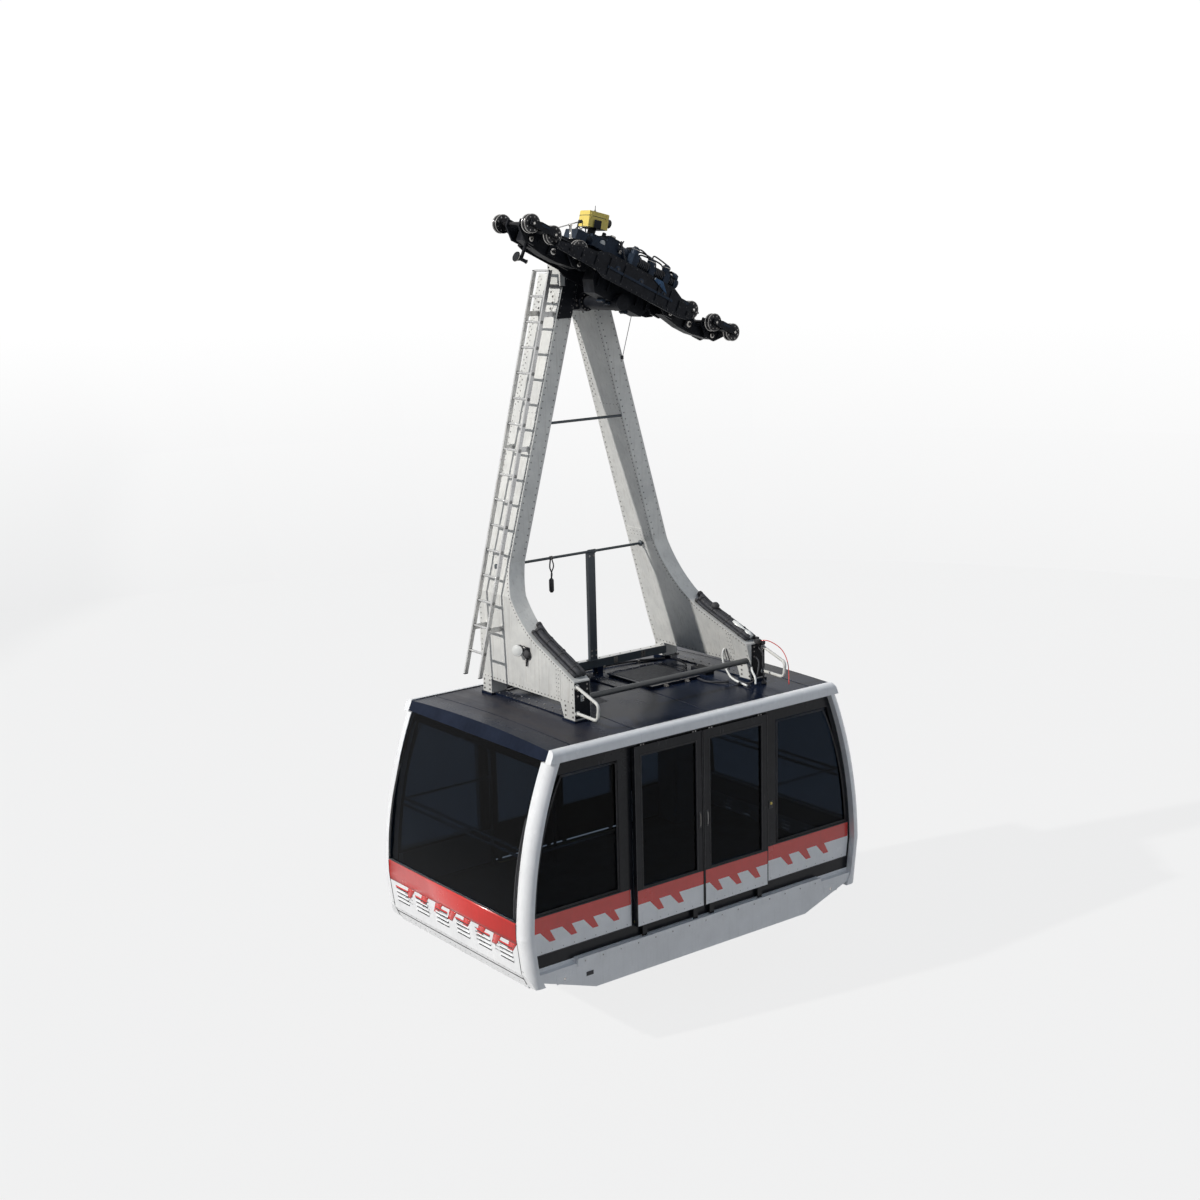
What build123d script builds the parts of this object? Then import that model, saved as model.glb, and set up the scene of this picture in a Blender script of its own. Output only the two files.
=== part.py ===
from build123d import *
import os
from math import cos, radians, sin

# Cable car cabin on its hanger, with the two-rope carriage that it hangs from.
# Millimetres. +Z up, +X along the ropes and downhill, Y across the cabin.
# The origin is where the carriage sits on its pair of track ropes.

# Track ropes and the slope that the carriage stands at
SLOPE_DEG = 24.9
ROPE_GAUGE = 500
ROPE_R = 20
PIN_BELOW_ROPE = 150

# Rope wheels, in the carriage's own sloping frame
WHEEL_TREAD_R = 78
WHEEL_FLANGE_R = 94
WHEEL_W = 62
HUB_R = 44
HUB_PROUD = 8
AXLE_R = 19
AXLE_HALF = 318
AXLE_RISE = ROPE_R + WHEEL_TREAD_R
OUTER_AXLE = 1437
AXLE_PITCH = 284
BOGIE_PITCH = 640

# Main pin and hanger
PIN_R = 60
PIN_CLEAR = 0.3
PIN_HEAD = 24
HANGER_Y0 = 500
HANGER_Y1 = 970
LEG_TOP_Z = 160
LEG_TOP_X = 246
LEG_SLOPE = 0.28
UPHILL_FOOT_X = 1175
DOWNHILL_FOOT_X = 1445
LEG_DEPTH = 200
LEG_T = 14
HEAD_BOTTOM_Z = -215

# Cabin outline: half lengths of the bulging ends at five heights below the roof edge
ROOF_Z = -4321
CABIN_W = 2700
END_PROFILE = (
    # below roof edge, half length
    (-80, 1868),
    (800, 2185),
    (1850, 2325),
    (2240, 2275),
    (2600, 2100),
)
CORNER_R = 100
POST_DEPTH = 115
POST_W = 150
PANEL_T = 45
GLASS_T = 12
ROOF_T = 100
ROOF_RISE = 35
TRIM_W = 90
TRIM_H = 112

# Side walls stand back from the corner posts, and the doors slide in front of them
WALL_SETBACK = 75
WALL_T = 45
DOOR_SETBACK = 15
DOOR_T = 45
DOOR_W = 910
DOOR_TRAVEL = 770
DOOR_GAP = 3
DOOR_TOP = 148
TRACK_TOP = 126
TRACK_H = 12
DOOR_BOTTOM = 2070
STILE = 95
JAMB = 170
WINDOW_TOP = 260
SIDE_WINDOW_BOTTOM = 1650
END_WINDOW_BOTTOM = 1680
SIDE_PANEL_BOTTOM = 2060
FLOOR_TOP = 2080
FLOOR_BOTTOM = 2200
SILL_BOTTOM = 2410
LEDGE_HALF = 1690
LEDGE_TOP = 2190
LEDGE_H = 80
SKIRT_TOP = 2240
SKIRT_BOTTOM = 2555
SKIRT_FLAT_HALF = 1460
SKIRT_END_DROP = 2300
SKIRT_END_HALF = END_PROFILE[2][1] - POST_DEPTH
SKIRT_INSET = 15
SKIRT_T = 20
RAIL_BELOW_ROOF = 1040
RAIL_R = 17
SEAT = 0.3

# Roof hatch, hinged on the side away from the hanger's toes
HATCH_X = 560
HATCH_Y = 150
HATCH_L = 660
HATCH_W = 760
HATCH_T = 14
HATCH_LIP = 15
COAMING = 40
COAMING_H = 14
HINGE_R = 9
HINGE_PIN_R = 4
HINGE_OUT = 14
HINGE_L = 80
HINGE_PITCH = 360
HINGE_LUG = 14

# Low rails on the roof under the hanger's feet, and a rib between them
BASE_RAIL_H = 10
BASE_RAIL_HALF = 62
RIB_X0 = -30
RIB_X1 = 90
RIB_Y0 = 40
RIB_Y1 = 1080
RIB_H = 12

PIN_X = -PIN_BELOW_ROPE * sin(radians(SLOPE_DEG))
PIN_Z = -PIN_BELOW_ROPE * cos(radians(SLOPE_DEG))
HALF_W = CABIN_W / 2
WALL_OUT = HALF_W - WALL_SETBACK
WALL_IN = WALL_OUT - WALL_T
DOOR_OUT = HALF_W - DOOR_SETBACK
DOOR_IN = DOOR_OUT - DOOR_T
GLASS_IN = (WALL_OUT + WALL_IN - GLASS_T) / 2
FAR = 3 * CABIN_W
DEEP = -2.1 * ROOF_Z

parts = {}


def add(name, shape, colour):
    """Keeps one named piece with its colour."""
    shape.label = name
    shape.color = Color(*colour)
    parts[name] = shape


def block(x0, x1, y0, y1, z0, z1):
    return Pos((x0 + x1) / 2, (y0 + y1) / 2, (z0 + z1) / 2) * Box(x1 - x0, y1 - y0, z1 - z0)


def plate_xz(points, y0, y1):
    """A flat outline in X and Z, as thick as y0 to y1."""
    plane = Plane(origin=(0, y1, 0), x_dir=(1, 0, 0), z_dir=(0, -1, 0))
    return extrude(plane * make_face(Polyline(*points, close=True)), y1 - y0)


def plate_yz(outline, x0, x1):
    """A flat outline in Y and Z, as thick as x0 to x1."""
    plane = Plane(origin=(x0, 0, 0), x_dir=(0, 1, 0), z_dir=(1, 0, 0))
    return extrude(plane * make_face(outline), x1 - x0)


def rod_y(x, z, radius, y0, y1):
    return Pos(x, (y0 + y1) / 2, z) * Rot(90, 0, 0) * Cylinder(radius, y1 - y0)


def rod_x(y, z, radius, x0, x1):
    return Pos((x0 + x1) / 2, y, z) * Rot(0, 90, 0) * Cylinder(radius, x1 - x0)


def rod_z(x, y, radius, z0, z1):
    return Pos(x, y, (z0 + z1) / 2) * Cylinder(radius, z1 - z0)


def on_slope(shape):
    """Turns a carriage piece from level to the slope of the ropes."""
    return Rot(0, SLOPE_DEG, 0) * shape


def both_sides(make):
    """The same piece at -Y and, mirrored, at +Y."""
    near = make()
    return near + mirror(near, Plane.XZ)


def below(depth):
    """Height of a level given as a depth under the roof edge."""
    return ROOF_Z - depth


WHITE = (0.9, 0.9, 0.9)
BLACK = (0.05, 0.05, 0.06)
GLASS = (0.2, 0.25, 0.3)
GREY = (0.6, 0.6, 0.6)
STEEL = (0.15, 0.15, 0.17)
RED = (0.7, 0.05, 0.05)

# Carriage: everything here is drawn level, with the ropes on X, and then put on the slope.
AXLES = tuple(
    side * (OUTER_AXLE - bogie * BOGIE_PITCH - axle * AXLE_PITCH)
    for side in (-1, 1)
    for bogie in (0, 1)
    for axle in (0, 1)
)
BOGIE_PIVOTS = tuple(
    side * (OUTER_AXLE - bogie * BOGIE_PITCH - AXLE_PITCH / 2) for side in (-1, 1) for bogie in (0, 1)
)
LINK_PIVOT = OUTER_AXLE - AXLE_PITCH / 2 - BOGIE_PITCH / 2
LINK_R = 16
BEAM_HALF = 58
LUG_IN = 66
LUG_OUT = 90
CHEEK_IN = 98
CHEEK_OUT = 120
OUTER_CHEEK_IN = 296
OUTER_CHEEK_OUT = 314
GUARD_IN = 326
GUARD_OUT = 340
BAR_Z0 = 60
BAR_Z1 = 110
BAR_HALF = 34
CHEEK_END = 38
CHEEK_RISE = 38
OUTER_RISE = 26
CHEEK_TOP = 50
CHEEK_FOOT = 60
CHEEK_DROP = 46


def rope_wheel_pair(x):
    """An axle with its two grooved wheels, one on each track rope."""
    half = WHEEL_W / 2
    section = Polyline(
        (AXLE_R - 2, -half - HUB_PROUD),
        (HUB_R, -half - HUB_PROUD),
        (HUB_R, -half),
        (WHEEL_FLANGE_R, -half),
        (WHEEL_TREAD_R, 0),
        (WHEEL_FLANGE_R, half),
        (HUB_R, half),
        (HUB_R, half + HUB_PROUD),
        (AXLE_R - 2, half + HUB_PROUD),
        close=True,
    )
    wheel = revolve(Plane.XY * make_face(section), Axis.Y)
    pair = rod_y(x, AXLE_RISE, AXLE_R, -AXLE_HALF, AXLE_HALF)
    for y in (-ROPE_GAUGE / 2, ROPE_GAUGE / 2):
        pair += Pos(x, y, AXLE_RISE) * wheel
    return on_slope(pair)


def bogie_frames():
    """Four short rockers with inner and outer cheeks, each carrying two axles."""
    a = AXLE_PITCH / 2
    frames = None
    for pivot in BOGIE_PIVOTS:
        inner = [
            (pivot - a - CHEEK_END, AXLE_RISE + CHEEK_RISE),
            (pivot - a - CHEEK_END, AXLE_RISE - CHEEK_RISE),
            (pivot - CHEEK_FOOT, -CHEEK_DROP),
            (pivot + CHEEK_FOOT, -CHEEK_DROP),
            (pivot + a + CHEEK_END, AXLE_RISE - CHEEK_RISE),
            (pivot + a + CHEEK_END, AXLE_RISE + CHEEK_RISE),
        ]
        outer = [
            (pivot - a - CHEEK_END, AXLE_RISE - OUTER_RISE),
            (pivot + a + CHEEK_END, AXLE_RISE - OUTER_RISE),
            (pivot + a + CHEEK_END, AXLE_RISE + OUTER_RISE),
            (pivot + CHEEK_FOOT, AXLE_RISE + CHEEK_TOP),
            (pivot - CHEEK_FOOT, AXLE_RISE + CHEEK_TOP),
            (pivot - a - CHEEK_END, AXLE_RISE + OUTER_RISE),
        ]
        rocker = block(pivot - BAR_HALF, pivot + BAR_HALF, -OUTER_CHEEK_OUT, OUTER_CHEEK_OUT, BAR_Z0, BAR_Z1)
        for side in (-1, 1):
            low, high = sorted((side * CHEEK_IN, side * CHEEK_OUT))
            rocker += plate_xz(inner, low, high)
            low, high = sorted((side * OUTER_CHEEK_IN, side * OUTER_CHEEK_OUT))
            rocker += plate_xz(outer, low, high)
        rocker -= rod_y(pivot, 0, LINK_R + SEAT, -CHEEK_OUT, CHEEK_OUT)
        for x in (pivot - a, pivot + a):
            rocker -= rod_y(x, AXLE_RISE, AXLE_R + SEAT, -OUTER_CHEEK_OUT, OUTER_CHEEK_OUT)
        frames = rocker if frames is None else frames + rocker
    return on_slope(frames)


def rocker_beams():
    """The two longer rockers that join the bogies in pairs, with their pins."""
    beams = None
    for side in (-1, 1):
        inner = side * (LINK_PIVOT - BOGIE_PITCH / 2)
        outer = side * (LINK_PIVOT + BOGIE_PITCH / 2)
        low, high = sorted((inner, outer))
        beam = plate_xz(
            [
                (low - 45, 58),
                (low - 45, -34),
                (side * LINK_PIVOT - 90, -74),
                (side * LINK_PIVOT + 90, -74),
                (high + 45, -34),
                (high + 45, 58),
            ],
            -BEAM_HALF,
            BEAM_HALF,
        )
        for x in (inner, outer):
            beam += rod_y(x, 0, LINK_R, -CHEEK_OUT - 12, CHEEK_OUT + 12)
        beam += rod_y(side * LINK_PIVOT, 0, LINK_R + 4, -LUG_OUT - 2, LUG_OUT + 2)
        beams = beam if beams is None else beams + beam
    return on_slope(beams)


CORE_HALF = 400
CORE_TOP = 235
CORE_SIDE = -60
CORE_BOTTOM = -175
CORE_FOOT = 330
ARM_LOW = 142
ARM_END = 40
BAR_XS = (-330, 0, 330)
PIN_LEVEL = -PIN_BELOW_ROPE
HOUSING_NEAR = 140
HOUSING_WALL = 22
PLATE_OUTLINE = (
    # along the ropes, above the ropes
    (-1120, 60),
    (-1120, 0),
    (-1060, -18),
    (-560, -24),
    (-470, -60),
    (600, -60),
    (720, -40),
    (800, 0),
    (800, 40),
    (600, 130),
    (440, 200),
    (-480, 200),
    (-700, 130),
)


def main_girder():
    """The carriage's main beam with the pin housing, lugs for the rockers and side plates."""
    body = plate_xz(
        [
            (-LINK_PIVOT - 60, ARM_LOW + ARM_END),
            (-LINK_PIVOT - 60, ARM_LOW),
            (-CORE_HALF, ARM_LOW),
            (-CORE_HALF, CORE_SIDE),
            (-CORE_FOOT, CORE_BOTTOM),
            (CORE_FOOT, CORE_BOTTOM),
            (CORE_HALF, CORE_SIDE),
            (CORE_HALF, ARM_LOW),
            (LINK_PIVOT + 60, ARM_LOW),
            (LINK_PIVOT + 60, ARM_LOW + ARM_END),
            (CORE_HALF, CORE_TOP),
            (-CORE_HALF, CORE_TOP),
        ],
        -LUG_OUT,
        LUG_OUT,
    )
    for side in (-1, 1):
        x = side * LINK_PIVOT
        for y in (-1, 1):
            low, high = sorted((y * LUG_IN, y * LUG_OUT))
            body += block(x - 52, x + 52, low, high, -48, ARM_LOW)
        body -= rod_y(x, 0, LINK_R + 4 + SEAT, -LUG_OUT, LUG_OUT)
    for x in BAR_XS:
        body += block(x - 30, x + 30, -GUARD_OUT, GUARD_OUT, BAR_Z0, BAR_Z1)
    for side in (-1, 1):
        low, high = sorted((side * GUARD_IN, side * GUARD_OUT))
        body += plate_xz(PLATE_OUTLINE, low, high)
    body += rod_y(0, PIN_LEVEL, PIN_R + HOUSING_WALL, -HOUSING_NEAR, GUARD_OUT)
    body -= rod_y(0, PIN_LEVEL, PIN_R + PIN_CLEAR, -FAR, FAR)
    return on_slope(body)


BRAKE_X0 = -210
BRAKE_X1 = 400
BRAKE_HALF = 56
BRAKE_PLATE_T = 22
BRAKE_TOWERS = (
    # along the ropes, height of the tower's block, height of its cap
    (-120, 330, 395),
    (120, 300, 365),
    (330, 320, 385),
)
TOWER_HALF = 36
SPRING_R = 50
SPRING_Z = 262
SPRING_END = 500
SPRING_STOP_X = 440
SPRING_STOP_T = 30
SPRING_STOP_Z0 = 205
SPRING_STOP_Z1 = 340


def rope_brakes():
    """Spring-applied clamps that grip the track ropes, one over each rope."""
    def brake():
        y = -ROPE_GAUGE / 2
        y0 = y - BRAKE_HALF
        y1 = y + BRAKE_HALF
        unit = block(BRAKE_X0, BRAKE_X1, y0, y1, BAR_Z1, BAR_Z1 + BRAKE_PLATE_T)
        for x, block_top, cap_top in BRAKE_TOWERS:
            unit += block(x - TOWER_HALF, x + TOWER_HALF, y0, y1, BAR_Z1 + BRAKE_PLATE_T, block_top)
            unit += rod_z(x, y, SPRING_R - 8, block_top, cap_top)
        unit += rod_x(y, SPRING_Z, SPRING_R, BRAKE_TOWERS[0][0], SPRING_END)
        unit += block(SPRING_STOP_X, SPRING_STOP_X + SPRING_STOP_T, y0, y1, SPRING_STOP_Z0, SPRING_STOP_Z1)
        return unit
    return on_slope(both_sides(brake))


PACK_HALF = 150
PACK_BASE = 60
TANK_X0 = -600
TANK_X1 = -250
TANK_STEP_X = -400
TANK_LOW_TOP = 350
TANK_TOP = 410
TANK_INSET = 30
MOTOR_R = 64
MOTOR_RISE = 121
MOTOR_END = 120
SADDLE_HALF = 50
SADDLE_W = 60
SADDLE_XS = (-150, 20)
BATTERY_X0 = -780
BATTERY_X1 = -650
BATTERY_HALF = 110
BATTERY_H = 105
BATTERY_ARM_HALF = 40


def power_pack():
    """Hydraulic unit with its tank, pump and motor on top of the girder."""
    base = CORE_TOP + PACK_BASE
    motor_z = CORE_TOP + MOTOR_RISE
    tank_y = PACK_HALF - TANK_INSET
    unit = block(TANK_X0, MOTOR_END, -PACK_HALF, PACK_HALF, CORE_TOP, base)
    unit += block(TANK_X0, TANK_STEP_X, -tank_y, tank_y, base, TANK_LOW_TOP)
    unit += block(TANK_STEP_X, TANK_X1, -tank_y, tank_y, base, TANK_TOP)
    unit += rod_x(0, motor_z, MOTOR_R, TANK_X1, MOTOR_END)
    for x in SADDLE_XS:
        unit += block(x, x + SADDLE_W, -SADDLE_HALF, SADDLE_HALF, base, motor_z)
    low = CORE_TOP - 10
    unit += block(BATTERY_X0, BATTERY_X1, -BATTERY_HALF, BATTERY_HALF, low, low + BATTERY_H)
    unit += block(BATTERY_X1, TANK_X0, -BATTERY_ARM_HALF, BATTERY_ARM_HALF, CORE_TOP + 10, base)
    return on_slope(unit)


for number, axle_x in enumerate(AXLES, 1):
    add(f"rope_wheels_{number}", rope_wheel_pair(axle_x), GREY)
add("bogie_frames", bogie_frames(), STEEL)
add("rocker_beams", rocker_beams(), BLACK)
add("main_girder", main_girder(), STEEL)
add("rope_brakes", rope_brakes(), GREY)
add("power_pack", power_pack(), STEEL)

BOX_L = 250
BOX_W = 170
BOX_H = 158
BOX_PLACE = Pos(-560, 0, 512) * Rot(0, -12, 0)
LENS_R = 42
LENS_L = 72
STAND_X = -545
STAND_HALF = 60
STAND_FOOT_T = 12
stand = block(
    STAND_X - STAND_HALF, STAND_X + STAND_HALF, -STAND_HALF, STAND_HALF, TANK_LOW_TOP, TANK_LOW_TOP + STAND_FOOT_T
)
stand += block(STAND_X - 45, STAND_X + 45, -8, 8, TANK_LOW_TOP + STAND_FOOT_T, 480)
lamp_body = BOX_PLACE * Box(BOX_L, BOX_W, BOX_H)
add("floodlight_stand", on_slope(stand - lamp_body), STEEL)
add("floodlight_housing", on_slope(lamp_body), (0.9, 0.8, 0.3))
lens = BOX_PLACE * rod_x(0, 6, LENS_R, BOX_L / 2, BOX_L / 2 + LENS_L)
add("floodlight_lens", on_slope(lens), BLACK)

guide = revolve(
    Plane.XY * make_face(Polyline((0, -70), (18, -70), (18, 0), (50, 70), (0, 70), close=True)), Axis.Y
)
guide = Rot(0, 0, 90) * guide
funnel = Pos(-1250, 0, -196) * guide + block(-1262, -1238, -14, 14, -196, -20)
funnel += block(-1262, -1180, -14, 14, -58, -30)
add("haul_rope_guide", on_slope(funnel) - parts["rocker_beams"], STEEL)


# Hanger
def leg_line(z):
    """Distance of a leg's outer face from the middle, at height z."""
    return LEG_TOP_X + LEG_SLOPE * (LEG_TOP_Z - z)


def bend_z(foot_x):
    """Height at which a leg's outer face turns upright above its foot."""
    return LEG_TOP_Z - (foot_x - LEG_TOP_X) / LEG_SLOPE


FOOT_Z = ROOF_Z + ROOF_RISE + BASE_RAIL_H
WEB_BOTTOM = ROOF_Z + 200
FLARE_HEIGHT = 1500
FLARE_TOP = ROOF_Z + FLARE_HEIGHT
FLARE_MID = (300, ROOF_Z + 1060)
FLARE_LOW = (-80, ROOF_Z + 745)
TOE_TOP = (-715, ROOF_Z + 455)
TOE_Y = -715
TOE_IN = -470
TOE_LEAN = 60
HEEL_Y = 950
HEEL_IN = 790


def leg_outline(inset):
    """The leg's face seen from the end of the cabin: straight above, flared to a toe below."""
    top = LEG_TOP_Z - inset
    return (
        Line((HANGER_Y1 - inset, WEB_BOTTOM + 300), (HANGER_Y1 - inset, top))
        + Line((HANGER_Y1 - inset, top), (HANGER_Y0 + inset, top))
        + Line((HANGER_Y0 + inset, top), (HANGER_Y0 + inset, FLARE_TOP))
        + ThreePointArc(
            (HANGER_Y0 + inset, FLARE_TOP),
            (FLARE_MID[0] + inset, FLARE_MID[1] - inset / 2),
            (FLARE_LOW[0], FLARE_LOW[1] - inset),
        )
        + Line((FLARE_LOW[0], FLARE_LOW[1] - inset), (TOE_Y + inset, TOE_TOP[1] - inset))
        + Line((TOE_Y + inset, TOE_TOP[1] - inset), (TOE_Y + inset, WEB_BOTTOM + inset))
        + Line((TOE_Y + inset, WEB_BOTTOM + inset), (HEEL_Y - inset, WEB_BOTTOM + inset))
        + Line((HEEL_Y - inset, WEB_BOTTOM + inset), (HANGER_Y1 - inset, WEB_BOTTOM + 300))
    )


def bent_slab(foot_x, outer, inner):
    """The space between two lines that follow a leg's bend, outer and inner from its face."""
    top = LEG_TOP_Z + 100
    low = ROOF_Z
    x_top = leg_line(top)
    return plate_xz(
        [
            (x_top - outer, top),
            (foot_x - outer, bend_z(foot_x)),
            (foot_x - outer, low),
            (foot_x - inner, low),
            (foot_x - inner, bend_z(foot_x)),
            (x_top - inner, top),
        ],
        -FAR / 2,
        FAR / 2,
    )


mirror_x = Plane(origin=(PIN_X, 0, 0), z_dir=(1, 0, 0))


def leg(foot_x, web_from):
    """Web and flanges of a riveted channel leg, its web set in by web_from from the outer face."""
    web_slab = bent_slab(foot_x, web_from, web_from + LEG_T)
    face = plate_yz(leg_outline(0), 0, FAR)
    web = face & web_slab
    flanges = face & bent_slab(foot_x, 0, LEG_DEPTH)
    flanges -= plate_yz(leg_outline(LEG_T), 0, FAR)
    flanges -= web_slab
    return Pos(PIN_X, 0, 0) * web, Pos(PIN_X, 0, 0) * flanges


def feet(foot_x, web_from):
    """The two open brackets that a leg stands on, toe and heel."""
    pair = None
    for y0, y1, lean in ((TOE_Y, TOE_IN, TOE_LEAN), (HEEL_IN, HEEL_Y, 0)):
        outline = Polyline((y0, WEB_BOTTOM), (y0, FOOT_Z), (y1 - lean, FOOT_Z), (y1, WEB_BOTTOM), close=True)
        inside = Polyline(
            (y0 + LEG_T, WEB_BOTTOM + 5),
            (y0 + LEG_T, FOOT_Z + LEG_T),
            (y1 - lean - LEG_T, FOOT_Z + LEG_T),
            (y1 - LEG_T, WEB_BOTTOM + 5),
            close=True,
        )
        bracket = plate_yz(outline, foot_x - LEG_DEPTH, foot_x) - plate_yz(inside, 0, FAR)
        bracket += plate_yz(outline, foot_x - web_from - LEG_T, foot_x - web_from)
        pair = bracket if pair is None else pair + bracket
    return Pos(PIN_X, 0, 0) * pair


web, flanges = leg(UPHILL_FOOT_X, 0)
add("leg_uphill_web", mirror(web, mirror_x), GREY)
add("leg_uphill_flanges", mirror(flanges, mirror_x), GREY)
web, flanges = leg(DOWNHILL_FOOT_X, LEG_DEPTH - LEG_T)
add("leg_downhill_web", web, GREY)
add("leg_downhill_flanges", flanges, GREY)
uphill_feet = mirror(feet(UPHILL_FOOT_X, 0), mirror_x)
add("leg_feet", uphill_feet + feet(DOWNHILL_FOOT_X, LEG_DEPTH - LEG_T), GREY)

head_half = leg_line(HEAD_BOTTOM_Z) - LEG_DEPTH
head = block(PIN_X - head_half, PIN_X + head_half, HANGER_Y0, HANGER_Y1, HEAD_BOTTOM_Z, LEG_TOP_Z - 60)
head += rod_y(PIN_X, PIN_Z, PIN_R + 40, HANGER_Y0 - 60, HANGER_Y1)
head -= rod_y(PIN_X, PIN_Z, PIN_R, -FAR, FAR)
for side in (-1, 1):
    reach = plate_xz(
        [
            (PIN_X + side * (leg_line(LEG_TOP_Z + 200) - LEG_DEPTH), LEG_TOP_Z + 200),
            (PIN_X + side * (leg_line(HEAD_BOTTOM_Z - 200) - LEG_DEPTH), HEAD_BOTTOM_Z - 200),
            (PIN_X + side * FAR, HEAD_BOTTOM_Z - 200),
            (PIN_X + side * FAR, LEG_TOP_Z + 200),
        ],
        -FAR,
        FAR,
    )
    head -= reach
add("hanger_head", head, GREY)

pin_end = -HOUSING_NEAR - 6
pin = rod_y(PIN_X, PIN_Z, PIN_R, pin_end, HANGER_Y1)
pin += rod_y(PIN_X, PIN_Z, PIN_R + PIN_HEAD, pin_end - PIN_HEAD, pin_end)
pin += rod_y(PIN_X, PIN_Z, PIN_R + PIN_HEAD, HANGER_Y1, HANGER_Y1 + PIN_HEAD)
add("hanger_pin", pin, GREY)

# Ladder on the uphill leg
LADDER_Y0 = 548
LADDER_Y1 = 826
LADDER_TOP_X = 380
LADDER_SLOPE = 0.255
LADDER_TOP_Z = 200
LADDER_BOTTOM_Z = ROOF_Z + 310
RUNG_STEP = 264
RUNG_R = 13
STILE_W = 22
STILE_D = 45
RUNG_MARGIN = 250
STAND_OFF_ZS = (-250, -1640, -3520)
STAND_OFF_HALF = 28
STAND_OFF_T = 10


def ladder_x(z):
    """Inner face of the ladder's stiles at height z, a little steeper than the leg."""
    return PIN_X - LADDER_TOP_X - LADDER_SLOPE * (LADDER_TOP_Z - z)


def ladder_stiles():
    """Two stiles with the stand-off plates that hold them to the leg."""
    stiles = None
    for y in (LADDER_Y0, LADDER_Y1):
        stile = plate_xz(
            [
                (ladder_x(LADDER_TOP_Z), LADDER_TOP_Z),
                (ladder_x(LADDER_BOTTOM_Z), LADDER_BOTTOM_Z),
                (ladder_x(LADDER_BOTTOM_Z) - STILE_D, LADDER_BOTTOM_Z),
                (ladder_x(LADDER_TOP_Z) - STILE_D, LADDER_TOP_Z),
            ],
            y - STILE_W / 2,
            y + STILE_W / 2,
        )
        for z in STAND_OFF_ZS:
            x0 = ladder_x(z) - STILE_D / 2
            x1 = PIN_X - min(leg_line(z), UPHILL_FOOT_X) + LEG_T
            half = STAND_OFF_T / 2
            stile += block(x0, x1, y - half, y + half, z - STAND_OFF_HALF, z + STAND_OFF_HALF)
        stiles = stile if stiles is None else stiles + stile
    return stiles - leg_front


def ladder_rungs():
    count = int((LADDER_TOP_Z - LADDER_BOTTOM_Z - RUNG_MARGIN) / RUNG_STEP) + 1
    rungs = None
    for n in range(count):
        z = LADDER_BOTTOM_Z + RUNG_MARGIN + n * RUNG_STEP
        rung = rod_y(
            ladder_x(z) - STILE_D / 2, z, RUNG_R, LADDER_Y0 + STILE_W / 2, LADDER_Y1 - STILE_W / 2
        )
        rungs = rung if rungs is None else rungs + rung
    return rungs


leg_front = plate_xz(
    [
        (PIN_X - leg_line(LEG_TOP_Z + 300), LEG_TOP_Z + 300),
        (PIN_X - UPHILL_FOOT_X, bend_z(UPHILL_FOOT_X)),
        (PIN_X - UPHILL_FOOT_X, ROOF_Z),
        (PIN_X + FAR, ROOF_Z),
        (PIN_X + FAR, LEG_TOP_Z + 300),
    ],
    -FAR,
    FAR,
)
add("ladder_stiles", ladder_stiles(), GREY)
add("ladder_rungs", ladder_rungs(), GREY)

# Cross rods, guard rail and the rails that tie the feet together on the roof
MID_ROD_Z = ROOF_Z + 2930
GUARD_HEIGHT = 1434
GUARD_Z = ROOF_Z + GUARD_HEIGHT
GUARD_Y = 720
GUARD_POST_X = 175
GUARD_POST_W = 95
GUARD_POST_D = 50
TIE_R = 15
BEAM_Y0 = 745
BEAM_Y1 = 835
BEAM_Z0 = ROOF_Z + 90
BEAM_Z1 = ROOF_Z + 180
TUBE_Y = -665
TUBE_Z = ROOF_Z + 256
TUBE_R = 32


def tie(y, z, radius):
    """A level rod from one leg's web to the other's."""
    uphill_end = min(leg_line(z), UPHILL_FOOT_X) - LEG_T / 2
    downhill_end = min(leg_line(z), DOWNHILL_FOOT_X) - LEG_DEPTH + LEG_T / 2
    return rod_x(y, z, radius, PIN_X - uphill_end, PIN_X + downhill_end) - webs


def guard_rail():
    """Guard rail with its post, and the beam between the heels that the post stands on."""
    beam = block(
        PIN_X - UPHILL_FOOT_X + LEG_DEPTH, PIN_X + DOWNHILL_FOOT_X - LEG_DEPTH, BEAM_Y0, BEAM_Y1, BEAM_Z0, BEAM_Z1
    )
    x = PIN_X + GUARD_POST_X
    half = GUARD_POST_W / 2
    post = block(x - half, x + half, GUARD_Y, GUARD_Y + GUARD_POST_D, BEAM_Z1, GUARD_Z)
    return beam + tie(GUARD_Y, GUARD_Z, TIE_R) + post


webs = parts["leg_uphill_web"] + parts["leg_downhill_web"]
add("cross_rod", tie(HANGER_Y0 + LEG_T + TIE_R, MID_ROD_Z, TIE_R), GREY)
add("guard_rail", guard_rail(), GREY)
add("roof_tube", tie(TUBE_Y, TUBE_Z, TUBE_R), GREY)

LOOP_R = 17
LOOP_FROM_EDGE = 32
LOOP_TOP = 400
LOOP_FOOT = 120
LOOP_REACH = 360
LOOP_BEND_R = 55


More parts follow.
